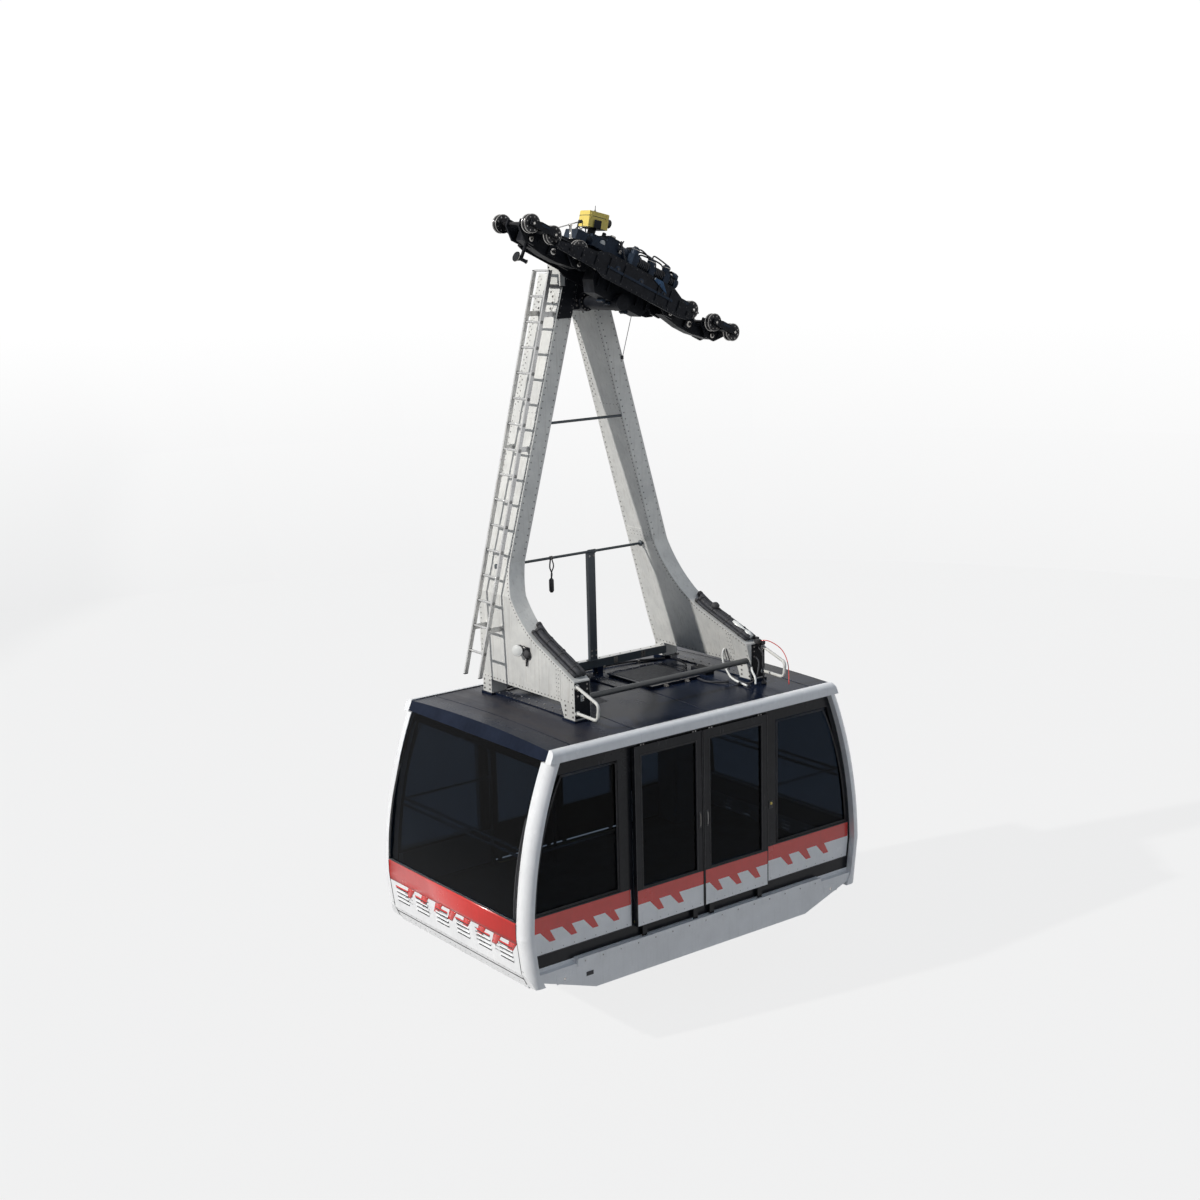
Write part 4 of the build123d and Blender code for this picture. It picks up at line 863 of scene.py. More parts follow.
for y in (-0.1, 0.095):
    lamp.box((-0.06, y, -0.085), (0.03, y + 0.005, 0.0), "carriage")
lamp.hose([(-0.127, 0.02, -0.03), (-0.17, 0.02, -0.05), (-0.18, 0.01, -0.12), (-0.14, 0, -0.17)], 0.007)
stub = on_slope(-0.827, -0.1, 0.2)
lamp.add(
    turned(
        [(0, 0.024), (0.01, 0.024), (0.012, 0.013), (0.12, 0.013), (0.13, 0.02), (0.15, 0.02)], stub,
        UP, 12,
    ),
    "worn", True, WORLD,
)
lamp.add(
    tube([stub + Vector((-0.15, 0, 0.115)), stub + Vector((0.13, 0.02, 0.167))], 0.006, 8), "worn",
    True, WORLD,
)
lamp.add(
    cuboid(stub + Vector((0.12, 0.005, 0.15)), stub + Vector((0.16, 0.03, 0.185)), 0.003), "dark_bolt",
    place=WORLD,
)
lamp.turn(
    [(0, 0.014), (0.02, 0.012), (0.024, 0.004), (0.07, 0.003)], (0.0, 0, 0.083), (-0.1, 0, 1), 10,
    "rubber",
)
lamp.build()

guide = Piece("rope_guide_fittings", "carriage", TILT)
for x in (-1.18, -1.31):
    guide.ring((x, 0, -0.196), LENGTHWAYS, 0.05 if x < -1.2 else 0.02, 0.004, "worn")
for z in (-0.15, -0.1, -0.07):
    guide.bolt((-1.25, -0.014, z), NEAR, 0.007)
guide.build()


# Hanger: both webs look uphill, with rivets along their edges
def leg_line(z):
    """Outer face of a leg from the pin, at a height above the roof edge."""
    return 0.246 + 0.28 * (0.16 - (ROOF + z))


def leg_x(side, z, inset=0.0):
    """A leg's outer face, slanted above and upright at the foot, or a place inside it."""
    return side * (min(leg_line(z), LEG_FACE[side]) - inset)


def web_point(side, y, z, out=0.0):
    x = leg_x(side, z) if side < 0 else leg_x(side, z, LEG_W)
    return at(x - out, y, z)


def web_normal(side, z):
    if leg_line(z) >= LEG_FACE[side]:
        return Vector((-1, 0, 0))
    return Vector((-1, 0, 0.28 if side < 0 else -0.28)).normalized()


FLARE = circle_through((0.5, 1.5), (0.3, 1.06), (-0.08, 0.745))
TOP = 0.16 - ROOF


def flare_points(inset, count):
    """Points along the leg's near edge, from the straight part over the flare to the toe."""
    cy, cz, radius = FLARE
    start = atan2(1.5 - cz, 0.5 - cy)
    end = atan2(0.745 - cz, -0.08 - cy)
    if end > start:
        end -= 2 * pi
    if abs(end - start) > pi:
        end += 2 * pi
    points = []
    for k in range(count + 1):
        angle = start + (end - start) * k / count
        points.append((cy + (radius + inset) * cos(angle), cz + (radius + inset) * sin(angle)))
    return points


def near_edge(inset):
    line = [(0.5 + inset, TOP - 0.03 - 0.09 * k) for k in range(int((TOP - 1.5) / 0.09) + 1)]
    line += flare_points(inset, 12)
    for k in range(1, 13):
        t = k / 12
        line.append((-0.08 + (-0.715 - -0.08) * t, 0.745 + (0.455 - 0.745) * t - inset))
    return line


def along(points, pitch):
    """Even steps along a line of (y, z) points."""
    out = []
    carry = 0.0
    for (ya, za), (yb, zb) in zip(points, points[1:]):
        length = hypot(yb - ya, zb - za)
        d = carry
        while d < length:
            t = d / length
            out.append((ya + (yb - ya) * t, za + (zb - za) * t))
            d += pitch
        carry = d - length
    return out


RIVET_PITCH = 0.058
for side, name in ((-1, "uphill"), (1, "downhill")):
    rivets = Piece(f"leg_rivets_{name}", "cabin")
    spots = along(near_edge(0.026), 0.042)
    spots += along([(0.938, TOP - 0.03), (0.938, 0.5)], RIVET_PITCH)
    spots += along([(0.9, TOP - 0.06), (0.9, 3.1)], RIVET_PITCH)
    spots += along([(0.93, 0.46), (0.92, 0.23)], RIVET_PITCH)
    spots += along([(0.9, 0.228), (-0.69, 0.228)], RIVET_PITCH)
    spots += along([(-0.688, 0.26), (-0.688, 0.42)], RIVET_PITCH)
    for y in (-0.455, -0.415):
        spots += along([(y, 0.26), (y, 0.53)], 0.045)
    for y, z in ((0.53, 1.53), (0.53, 1.57), (0.55, 3.05), (0.55, 4.18)):
        spots += along([(y, z), (1.44 - y, z)], RIVET_PITCH)
    for y, z in spots:
        rivets.rivet(web_point(side, y, z), web_normal(side, z), 0.0085, "rivet")
    for inset in (0.03, 0.17):
        for z in [TOP - 0.05 - 0.07 * k for k in range(int((TOP - 1.5) / 0.07))]:
            x = leg_x(side, z, inset)
            rivets.rivet(at(x, 0.5, z), NEAR, 0.0085, "rivet")
            rivets.rivet(at(x, 0.97, z), FAR, 0.0085, "rivet")
    rivets.build()

    fittings = Piece(f"leg_fittings_{name}", "cabin")
    n = web_normal(side, 2.0)
    for z0, z1 in ((2.99, 3.11), (1.49, 1.61)):
        strip = [web_point(side, y, z) for y, z in ((0.52, z0), (0.95, z0), (0.95, z1), (0.52, z1))]
        fittings.add(slab(strip, n, 0.0035), "alloy")
    doubler = [
        web_point(side, y, z)
        for y, z in ((-0.48, 0.24), (-0.39, 0.24), (-0.39, 0.575), (-0.48, 0.54))
    ]
    fittings.add(slab(doubler, (-1, 0, 0), 0.003), "alloy")
    hub = web_point(side, 0.735, TOP - 0.295)
    n = web_normal(side, TOP - 0.3)
    fittings.turn(boss(0.15, 0.006, 0.145, 0.001), hub, n, 36, "alloy", False)
    for a, b in around(12, 0.125):
        fittings.bolt(web_point(side, 0.735 + a, TOP - 0.295 + b, 0.006), n, 0.01, "bolt")
    foot = -1.175 if side < 0 else 1.245
    for y0, y1 in ((-0.715, -0.53), (0.79, 0.95)):
        for y in (y0 + 0.03, y1 - 0.03):
            for z in (0.08, 0.13, 0.18):
                fittings.bolt(at(foot, y, z), (-1, 0, 0), 0.009, "bolt")
        for x in (0.02, 0.18):
            for y in (y0 - 0.004, y1 + 0.004):
                fittings.bolt(at(foot + x, y, 0.046), UP, 0.01, "bolt")
    for z in (0.3, 0.36, 0.41):
        for x in (0.04, 0.16):
            fittings.bolt(at(foot + x, -0.718, z), NEAR, 0.008, "bolt")
    # Dark sheet on each toe's near face: painted shade.
    toe_shade_sheet = [
        at(foot + x, -0.715, z)
        for x, z in ((0.004, 0.06), (0.196, 0.06), (0.196, 0.44), (0.004, 0.44))
    ]
    fittings.add(slab(toe_shade_sheet, NEAR, 0.003), "carriage")
    for y in (-0.2, 0.2, 0.6):
        fittings.box(at(foot + 0.02, y - 0.005, 0.214), at(foot + 0.18, y + 0.005, 0.3), "alloy_dark", 0.002)
    for z in (0.9, 1.6, 2.3, 3.0, 3.7):
        x = leg_x(side, z, 0.014 if side < 0 else 0.185)
        fittings.box(at(x, 0.516, z - 0.005), at(x + 0.15, 0.955, z + 0.005), "alloy_dark", 0.002)
    fittings.build()

head = Piece("hanger_head_fittings", "cabin")
for a, b in around(12, 0.083):
    head.bolt((PIN_X + a, 0.44, PIN_Z + b), NEAR, 0.007, "bolt")
for x in (-0.1, 0.1):
    for z in (-0.17, -0.12):
        head.bolt((PIN_X + x, 0.5, z), NEAR, 0.012, "bolt")
for y in (0.5, 0.97):
    face = -1 if y == 0.5 else 1
    for x, z in ((0, 0.05), (-0.04, 0.06), (0.04, 0.06), (0.0, 0.08)):
        head.bolt((PIN_X + x, y, z), (0, face, 0), 0.009, "bolt")
head.box(at(-0.315, 0.5, 4.37), at(-0.285, 0.72, 4.58), "pale_paint", 0.006)
head.box(at(-0.32, 0.5, 4.345), at(-0.262, 0.73, 4.368), "dark_bolt", 0.003)
head.box(at(-0.325, 0.482, 4.36), at(-0.26, 0.5, 4.6), "pale_paint", 0.003)
for y in (0.53, 0.69):
    for z in (4.4, 4.55):
        head.bolt(at(-0.315, y, z), (-1, 0, 0), 0.008)
wire = [Vector((0.455, 0.34, -0.272)), at(leg_line(3.56) - 0.01, 0.494, 3.56)]
head.tube(wire, 0.0035, 8, "hose")
head.box(wire[1] + Vector((-0.02, -0.008, -0.02)), wire[1] + Vector((0.012, 0.006, 0.02)), "dark_bolt", 0.002)
# Dark sheet with bolts over the top of the uphill leg's near flange, under the hanger head: painted shade of
# the carriage's shadow.
cover = [web_point(-1, 0.5, 4.02, -x) for x in (0.004, 0.196)]
cover += [web_point(-1, 0.5, TOP - 0.02, -x) for x in (0.196, 0.004)]
head.add(slab(cover, NEAR, 0.004), "carriage")
for x in (0.02, 0.18):
    for z in (4.05, 4.13, 4.21, 4.29):
        head.bolt(web_point(-1, 0.496, z, -x), NEAR, 0.008)
head.build()

# Ladder fittings
ladder = Piece("ladder_fittings", "cabin")


def ladder_x(z):
    """Inner face of the ladder, at a height above the roof edge."""
    return -0.38 - 0.255 * (0.2 - (ROOF + z))


for k in range(14):
    z = 0.31 + 0.25 + 0.264 * k
    if z > 4.4:
        break
    for y, face in ((0.559, 1), (0.815, -1), (0.537, -1), (0.837, 1)):
        ladder.turn(
            boss(0.019, 0.004, 0.014, 0.003), at(ladder_x(z) - 0.0225, y, z), (0, face, 0), 12, "rivet",
        )
    for j in range(9):
        y = 0.572 + 0.0285 * j
        ladder.ring(at(ladder_x(z) - 0.0225, y, z), FAR, 0.0132, 0.0012, "ladder", 12, 4)
for z in (4.071, 2.681, 0.801):
    for y in (0.548, 0.826):
        for dz in (-0.016, 0.016):
            ladder.bolt(at(ladder_x(z) - 0.01, y + 0.005, z + dz), FAR, 0.006, "bolt")
            ladder.bolt(at(ladder_x(z) - 0.01, y - 0.005, z + dz), NEAR, 0.006, "bolt")
        top = leg_x(-1, z + 0.04)
        low = leg_x(-1, z - 0.04)
        pad = [
            at(low, y - 0.035, z - 0.04), at(low, y + 0.035, z - 0.04), at(top, y + 0.035, z + 0.04),
            at(top, y - 0.035, z + 0.04),
        ]
        ladder.add(slab(pad, web_normal(-1, z), 0.005), "alloy")
        for dy in (-0.024, 0.024):
            ladder.bolt(web_point(-1, y + dy, z, 0.005), web_normal(-1, z), 0.008, "bolt")
for y in (0.548, 0.826):
    for z in (0.31, 4.521):
        ladder.box(
            at(ladder_x(z) - 0.046, y - 0.0125, z - 0.006),
            at(ladder_x(z) + 0.001, y + 0.0125, z + 0.004), "rubber", 0.002,
        )
ladder.build()

# Leg lamp with its painted shadow on the web, latch and covers on the toes
leg_lamp = Piece("leg_lamp_fittings", "cabin")
AIM = (-0.86, -0.5, 0.0)
leg_lamp.turn(
    [(-0.03, 0.03), (-0.01, 0.054), (0.0, 0.06), (0.008, 0.061), (0.01, 0.055)],
    at(-1.245, 0.17, 0.638), AIM, 32, "lamp_white",
)
leg_lamp.turn([(0.006, 0.053), (0.012, 0.04), (0.015, 0.012)], at(-1.245, 0.17, 0.638), AIM, 32, "lamp_white")
leg_lamp.ring(at(-1.247, 0.168, 0.638), AIM, 0.0585, 0.004, "worn", 32)
# Dark plate, dark disc and a tapering dark tail on the web beside and below the lamp: the lamp's painted
# shadow.
leg_lamp.box(at(-1.182, 0.04, 0.6), at(-1.175, 0.12, 0.68), "carriage", 0.002)
leg_lamp.turn(
    [(0, 0.05), (0.02, 0.05), (0.034, 0.034), (0.04, 0.014)], at(-1.182, 0.072, 0.605), (-1, 0, 0), 24,
    "rubber",
)
leg_lamp.tube(
    [at(-1.19, 0.08, 0.57), at(-1.19, 0.09, 0.52), at(-1.19, 0.096, 0.475)], [0.014, 0.011, 0.008], 10,
    "rubber",
)
leg_lamp.hose([at(-1.2, 0.14, 0.6), at(-1.2, 0.12, 0.58), at(-1.19, 0.1, 0.585)], 0.006)
leg_lamp.hose([at(-1.21, 0.155, 0.66), at(-1.2, 0.12, 0.69), at(-1.19, 0.08, 0.66)], 0.006)
leg_lamp.box(at(-1.1, -0.724, 0.24), at(-1.06, -0.715, 0.31), "pale_paint", 0.002)
leg_lamp.turn(boss(0.01, 0.02, 0.006, 0.004), at(-1.08, -0.724, 0.275), NEAR, 12, "worn")
for x in (-1.143, 1.413):
    for z in (0.4, 0.12):
        leg_lamp.turn(boss(0.03, 0.006, 0.022), at(x, -0.715, z - 0.002), NEAR, 20, "pale_paint")
        for a, b in around(3, 0.024):
            leg_lamp.bolt(at(x + a, -0.722, z + b), NEAR, 0.004, "bolt")
leg_lamp.build()

rail = Piece("guard_rail_fittings", "cabin")
for x, face in ((-1.105, 1), (0.872, -1)):
    rail.turn(boss(0.035, 0.006, 0.02, 0.014), at(x, 0.72, 1.434), (face, 0, 0), 20, "rail_paint")
rail.box(at(0.12, 0.712, 1.41), at(0.23, 0.728, 1.455), "rail_paint", 0.003)
for x in (0.145, 0.205):
    for z in (1.38, 0.24, 0.3):
        rail.bolt(at(x, 0.72, z), NEAR, 0.009, "bolt")
rail.box(at(0.1, 0.712, 0.18), at(0.25, 0.78, 0.192), "rail_paint", 0.003)
for x in (0.115, 0.235):
    rail.bolt(at(x, 0.76, 0.192), UP, 0.009, "bolt")
cord = [at(-0.39, 0.72, 1.42), at(-0.4, 0.72, 1.33), at(-0.375, 0.72, 1.26), at(-0.385, 0.72, 1.2)]
rail.hose(cord, 0.008)
cord = [at(-0.37, 0.72, 1.42), at(-0.35, 0.72, 1.34), at(-0.38, 0.72, 1.27), at(-0.385, 0.72, 1.2)]
rail.hose(cord, 0.007)
rail.turn(
    [(0, 0.012), (0.02, 0.027), (0.14, 0.027), (0.16, 0.014)], at(-0.385, 0.72, 1.21), DOWN, 20,
    "rubber",
)
for x in (-0.39, -0.37):
    rail.ring(at(x, 0.72, 1.434), LENGTHWAYS, 0.019, 0.005, "bolt")
for x in (-0.7, -0.3, 0.5, 0.9):
    rail.box(at(x - 0.03, 0.742, 0.1), at(x + 0.03, 0.745, 0.17), "bolt")
rail.box(at(-0.96, 0.75, 0.18), at(1.23, 0.83, 0.183), "alloy")
for x in [-0.9 + 0.15 * k for k in range(15)]:
    if not 0.08 < x < 0.27:
        rail.bolt(at(x, 0.79, 0.183), UP, 0.007, "bolt")
rail.build()

# Services: a strapped bundle of hoses down each leg's near flange, loose hoses at the downhill toe
def flange_run(side, inset, lift, start):
    """Points along the top of a leg's near flange, from a height down to the toe."""
    line = [p for p in near_edge(0.0) if p[1] < start]
    points = []
    for (ya, za), (yb, zb) in zip(line, line[1:]):
        length = hypot(yb - ya, zb - za)
        y = ya - lift * (za - zb) / length
        z = za + lift * (ya - yb) / length
        points.append(web_point(side, y, z, -inset))
    return points


for side, name in ((-1, "uphill"), (1, "downhill")):
    services = Piece(f"foot_services_{name}", "cabin")
    for inset, r, start in ((0.166, 0.029, 0.88), (0.108, 0.034, 0.86), (0.054, 0.02, 0.84)):
        run = flange_run(side, inset, r, start)
        sizes = [r * (1.0 + 0.05 * sin(2.1 * k + inset * 40)) for k in range(len(run))]
        services.tube(run, sizes, 12, "hose")
        services.turn(
            [(-0.012, r * 0.5), (0.0, r * 1.08), (0.03, r * 1.12)], run[0], run[1] - run[0], 12,
            "rubber",
        )
        for k in (3, 7, 11):
            if k < len(run) - 1:
                services.tube([run[k], run[k].lerp(run[k + 1], 0.25)], r * 1.16, 12, "rubber", smooth=False)
    if side > 0:
        run = flange_run(side, 0.13, 0.05, 0.66)
        sizes = [(0.022, 0.035, 0.028, 0.038, 0.03)[k % 5] for k in range(len(run))]
        services.tube(run[2:], sizes[2:], 10, "lamp_white")
        knob = flange_run(side, 0.13, 0.07, 0.88)[4]
        services.turn(
            [(-0.03, 0.03), (0.0, 0.045), (0.03, 0.045), (0.05, 0.024)], knob, (0, -0.5, 0.85), 16,
            "rubber",
        )
    services.build()

toe = at(1.36, -0.68, 0.46)
loose = Piece("downhill_toe_hoses", "cabin")
for shift, size in (
    ((-0.03, -0.05, 0.01), 0.03), ((0.02, -0.07, -0.01), 0.026), ((-0.01, -0.01, 0.03), 0.024),
):
    centre = toe + Vector(shift)
    loose.box(
        centre - Vector((size, size, size * 0.8)), centre + Vector((size, size, size * 0.8)), "rubber",
        0.007,
    )
for points, r, key in (
    (
        (
            (1.33, -0.7, 0.45), (1.358, -0.76, 0.48), (1.401, -0.86, 0.475),
            (1.467, -0.97, 0.39), (1.461, -1.07, 0.25), (1.409, -1.14, 0.045),
        ),
        0.005, "red",
    ),
    (
        (
            (1.236, -0.36, 0.39), (1.2, -0.3, 0.3), (1.19, -0.316, 0.18), (1.2, -0.374, 0.08),
            (1.12, -0.55, 0.048), (1.04, -0.87, 0.046),
        ),
        0.011, "lamp_white",
    ),
    (
        (
            (1.236, -0.36, 0.36), (1.205, -0.35, 0.33), (1.2, -0.405, 0.22),
            (1.205, -0.39, 0.13), (1.23, -0.37, 0.1),
        ),
        0.007, "hose",
    ),
    (
        ((1.23, -0.74, 0.19), (1.19, -0.79, 0.17), (1.17, -0.86, 0.11), (1.16, -0.88, 0.042)),
        0.012, "lamp_white",
    ),
    (
        (
            (1.3, -0.73, 0.3), (1.28, -0.8, 0.24), (1.2, -0.84, 0.1), (1.14, -0.8, 0.044),
            (1.08, -0.72, 0.042),
        ),
        0.009, "hose",
    ),
    (
        ((1.34, -0.73, 0.4), (1.34, -0.8, 0.34), (1.32, -0.82, 0.2), (1.3, -0.86, 0.042)),
        0.009, "hose",
    ),
):
    loose.hose([at(*p) for p in points], r, key, 10)
for spot_y, spot_x in ((-0.72, 1.08), (-0.86, 1.3)):
    loose.turn(boss(0.03, 0.01, 0.018, 0.02), at(spot_x, spot_y, 0.024), UP, 14, "rubber")
streak = [at(1.2445, y, z) for y, z in ((-0.455, 0.455), (-0.48, 0.45), (-0.61, 0.2), (-0.585, 0.2))]
loose.add(slab(streak, (-1, 0, 0), 0.0012), "stain")
loose.build()


# Roof: seams, a grit mat, edge rivets and seals, latches, cables and foot bolts
top = Piece("roof_fittings", "cabin")


def crown(y):
    """Height of the roof skin over the roof edge."""
    return 0.035 * (1 - (y / 1.26) ** 2)


for x in (-1.62, -0.82, 0.16, 1.02, 1.62):
    grid = [
        [at(x + dx, -1.24 + 0.124 * k, crown(-1.24 + 0.124 * k) + 0.002) for dx in (-0.006, 0.006)]
        for k in range(21)
    ]
    low = [[p - Vector((0, 0, 0.008)) for p in line] for line in grid]
    top.add(skin(grid, low), "roof", True)
rows = []
for k in range(7):
    y = -0.3 + 0.9 * k / 6
    rows.append([at(x, y, crown(y) + 0.0015) for x in (-0.78, -0.42)])
low = [[p - Vector((0, 0, 0.004)) for p in line] for line in rows]
top.add(skin(rows, low), "grit")
for s in (-1, 1):
    for k in range(30):
        x = -1.74 + 0.12 * k
        top.rivet(at(x, s * 1.235, crown(1.235) + 0.0005), UP, 0.006)
    top.box(at(-1.8, s * 1.26, -0.002), at(1.8, s * 1.252, 0.007), "rubber")
for x0, x1 in ((0.38, 0.44), (0.68, 0.74)):
    top.box(at(x0, -0.262, 0.0), at(x1, -0.246, 0.058), "bolt", 0.004)
    top.box(at(x0 + 0.01, -0.285, 0.034), at(x1 - 0.01, -0.247, 0.046), "worn", 0.003)
conduit = [at(-1.0, 0.86, 0.04), at(-0.6, 0.92, 0.034), at(0.2, 0.92, 0.034), at(0.75, 0.88, 0.034)]
top.hose(conduit + [at(1.2, 0.72, 0.036)], 0.014)
for x, y in ((-0.75, 0.9), (-0.35, 0.92), (0.0, 0.92), (0.45, 0.91), (0.9, 0.84)):
    top.box(at(x - 0.012, y - 0.03, 0.012), at(x + 0.012, y + 0.03, 0.045), "bolt", 0.003)
feed = [at(1.0, -0.62, 0.05), at(0.85, -0.4, 0.04), at(0.98, 0.1, 0.045), at(1.16, 0.3, 0.05)]
top.hose(feed + [at(1.2, 0.6, 0.07)], 0.012)
top.box(at(1.02, -0.2, 0.02), at(1.16, 0.05, 0.1), "carriage", 0.008)
for y in (-0.16, 0.01):
    top.bolt(at(1.09, y, 0.1), UP, 0.008, "bolt")
top.turn([(0, 0.07), (0.012, 0.07), (0.03, 0.05), (0.034, 0.02)], at(-0.55, 0.2, 0.03), UP, 28, "roof")
for x in (-0.0, 0.06):
    for k in range(9):
        top.bolt(at(x, 0.1 + 0.12 * k, 0.047), UP, 0.006, "bolt")
for x in (-1.075, 1.345):
    for s in (-1, 1):
        for k in range(9):
            y = -0.4 + 0.14 * k
            top.bolt(at(x + s * 0.048, y, 0.045), UP, 0.008, "bolt")
for x in (-0.325, 0.275):
    for s in (-1, 1):
        top.bolt(at(x + s * 0.05, 0.74, 0.03), UP, 0.008, "bolt")
top.build()

lid = Piece("hatch_lid_fittings", "roof_hatch")
lid.box(at(0.26, -0.18, 0.063), at(0.86, 0.48, 0.0655), "grit", 0.001)
lid.box(at(0.22, -0.25, 0.063), at(0.9, -0.235, 0.067), "bolt", 0.001)
for k in range(7):
    for y in (-0.215, 0.515):
        lid.rivet(at(0.26 + 0.1 * k, y, 0.063), UP, 0.006)
lid.hose(
    [at(0.5, -0.205, 0.063), at(0.5, -0.205, 0.09), at(0.62, -0.205, 0.09), at(0.62, -0.205, 0.063)],
    0.006, "bolt", 8, 4,
)
lid.build()

# Cabin sides: livery of slanted bars, gaskets, seams, ledge, skirt and door fittings
def side_panel_bars(piece, s, y, x0, x1, phase, top, clip=None):
    """Red stripe over white with slanted bars, as thin film on a flat panel that faces along Y."""

    def patch(points, key):
        outline = [(PIN_X + x, y, ROOF - depth) for x, depth in points]
        piece.add(slab(outline, (0, s, 0), 0.0012), key)

    def limit(depth):
        if clip is None:
            return x0, x1
        edge = clip(depth)
        return (max(x0, -edge), min(x1, edge))

    lo, hi = limit(top), limit(1.83)
    patch([(lo[0], top), (lo[1], top), (hi[1], 1.83), (hi[0], 1.83)], "red")
    pitch, wide, lean = 0.27, 0.12, 0.11
    n0 = int((x0 - phase) / pitch) - 1
    n1 = int((x1 - phase) / pitch) + 1
    for n in range(n0, n1 + 1):
        a = phase + n * pitch
        low, high = limit(1.83)
        if a < low or a + wide > high or a + lean + wide > high or a + lean < low:
            continue
        patch([(a, 1.8305), (a + wide, 1.8305), (a + lean + wide * 0.62, 1.95), (a + lean, 1.95)], "red")


def wall_edge(depth):
    return end_x(depth) - 0.15


for s, name in ((-1, "near"), (1, "far")):
    film = Piece(f"livery_side_{name}", "cabin")
    side_panel_bars(film, s, s * WALL_Y, 0.945, 2.2, 0.07, 1.668, wall_edge)
    side_panel_bars(film, s, s * WALL_Y, -2.2, -0.945, 0.07, 1.668, wall_edge)
    film.build()
    trim = Piece(f"side_fittings_{name}", "cabin")
    y = s * WALL_Y
    for e in (-1, 1):
        for d in (0.012, 0.024):
            curve = []
            for j in range(13):
                depth = 0.26 + (1.65 - 0.26) * j / 12
                curve.append(Vector((PIN_X + e * (end_x(depth) - 0.175 + (0.006 - d)), y, ROOF - depth)))
            ring = [at(e * (GASKET_X + d), y, -0.26 - d), curve[0] + Vector((0, 0, -d))] + curve[1:-1]
            ring += [curve[-1] + Vector((0, 0, d)), at(e * (GASKET_X + d), y, -1.65 + d)]
            trim.tube(ring, 0.0045, 6, "rubber", closed=True)
        for j in range(11):
            depth = 0.3 + 0.13 * j
            trim.rivet(at(e * 1.0, y, -depth), (0, s, 0), 0.004, "black")
        x1 = wall_edge(1.87)
        trim.box(at(e * 0.935, y, -1.66), at(e * (x1 + 0.005), y + s * 0.004, -1.667), "rubber")
        trim.box(at(e * 0.935, y, -2.063), at(e * x1, y + s * 0.004, -2.07), "rubber")
        for j in range(9):
            x = 1.0 + 0.135 * j
            if x < wall_edge(2.03) - 0.03:
                trim.rivet(at(e * x, y + s * 0.001, -2.035), (0, s, 0), 0.005)
    for k in range(15):
        x = -1.6 + 3.2 * k / 14
        trim.bolt(at(x, s * HALF_W, -2.232), (0, s, 0), 0.006, "bolt")
    skirt = s * DOOR_Y
    trim.box(at(-1.66, s * 1.336, -2.243), at(1.66, s * 1.339, -2.25), "rubber", 0.001)
    for k in range(40):
        x = -1.95 + 0.1 * k
        trim.rivet(at(x, skirt, -2.3), (0, s, 0), 0.0045, "white")
    for x in (-1.85, 1.85):
        trim.box(at(x - 0.1, skirt, -2.32), at(x + 0.1, skirt + s * 0.003, -2.4), "white", 0.002)
        trim.turn(boss(0.016, 0.003, 0.01, 0.003), at(x, skirt, -2.36), (0, s, 0), 16, "worn")
    mark = at(-1.58, skirt, -2.41)
    trim.box(mark, mark + Vector((0.09, s * 0.003, 0.045)), "rubber", 0.001)
    trim.box(at(-0.91 - 0.77, s * 1.305, -0.112), at(0.91 + 0.77, s * 1.312, -0.12), "black")
    for k in range(13):
        x = -1.56 + 0.26 * k
        trim.bolt(at(x, s * WALL_Y, -0.117), (0, s, 0), 0.006, "bolt")
    trim.box(at(0.975, y, -1.15), at(1.035, y + s * 0.006, -1.24), "rubber", 0.003)
    trim.turn(boss(0.016, 0.005, 0.01), at(1.005, y + s * 0.006, -1.18), (0, s, 0), 16, "yellow")
    trim.build()

    for e, end in ((-1, "uphill"), (1, "downhill")):
        door = Piece(f"door_fittings_{name}_{end}", f"door_{name}_{end}")
        face = s * DOOR_Y
        x0, x1 = sorted((e * 0.003, e * 0.91))
        side_panel_bars(door, s, face, x0 + 0.012, x1 - 0.012, 0.07, 1.682)
        door.box(at(x0 + 0.012, face, -1.72), at(x1 - 0.012, face + s * 0.0002, -2.065), "white", 0.0)
        for k in range(2):
            door.tube(
                [
                    at(e * 0.009, face + s * (0.004 - 0.05 * k), -0.16),
                    at(e * 0.009, face + s * (0.004 - 0.05 * k), -2.06),
                ],
                0.0052, 8, "rubber",
            )
        door.box(at(e * 0.9, face, -0.16), at(e * 0.908, face + s * 0.004, -2.06), "rubber", 0.001)
        a, b = sorted((e * 0.098, e * 0.815))
        for k in range(2):
            d = 0.004 + 0.01 * k
            ring = [
                at(a - d, face, -0.258 + d), at(b + d, face, -0.258 + d), at(b + d, face, -1.65 - d),
                at(a - d, face, -1.65 - d),
            ]
            door.tube(ring, 0.0042, 6, "rubber", closed=True)
            ring = [p - Vector((0, s * 0.045, 0)) for p in ring]
            door.tube(ring, 0.0034, 6, "rubber", closed=True)
        door.box(at(x0 + 0.02, face, -1.672), at(x1 - 0.02, face + s * 0.003, -1.68), "rubber", 0.001)
        grip = e * 0.05
        door.box(at(grip - 0.016, face, -1.02), at(grip + 0.016, face + s * 0.004, -1.2), "rubber", 0.004)
        door.hose(
            [
                at(grip, face, -1.04), at(grip, face + s * 0.011, -1.06),
                at(grip, face + s * 0.011, -1.16), at(grip, face, -1.18),
            ],
            0.004, "bolt", 8, 4,
        )
        for x in (e * 0.11, e * 0.8):
            for dx in (-0.018, 0.018):
                door.bolt(at(x + dx, s * 1.33, -0.14), (0, s, 0), 0.006, "bolt")
        for j in range(8):
            door.rivet(at(e * (0.06 + 0.11 * j), face + s * 0.0012, -2.035), (0, s, 0), 0.0045)
            door.rivet(at(e * (0.06 + 0.11 * j), face, -0.18), (0, s, 0), 0.0045, "black")
        door.build()

# Cabin ends: livery, window gasket, vent slits with hoods, sill rivets and seams
def strip(side, y, depth, half, steps):
    """Rows of two points across an end, each row at a depth and a height off the panel."""
    return [[end_point(side, y + dy, depth + dd, out) for dy in (-half, half)] for dd, out in steps]


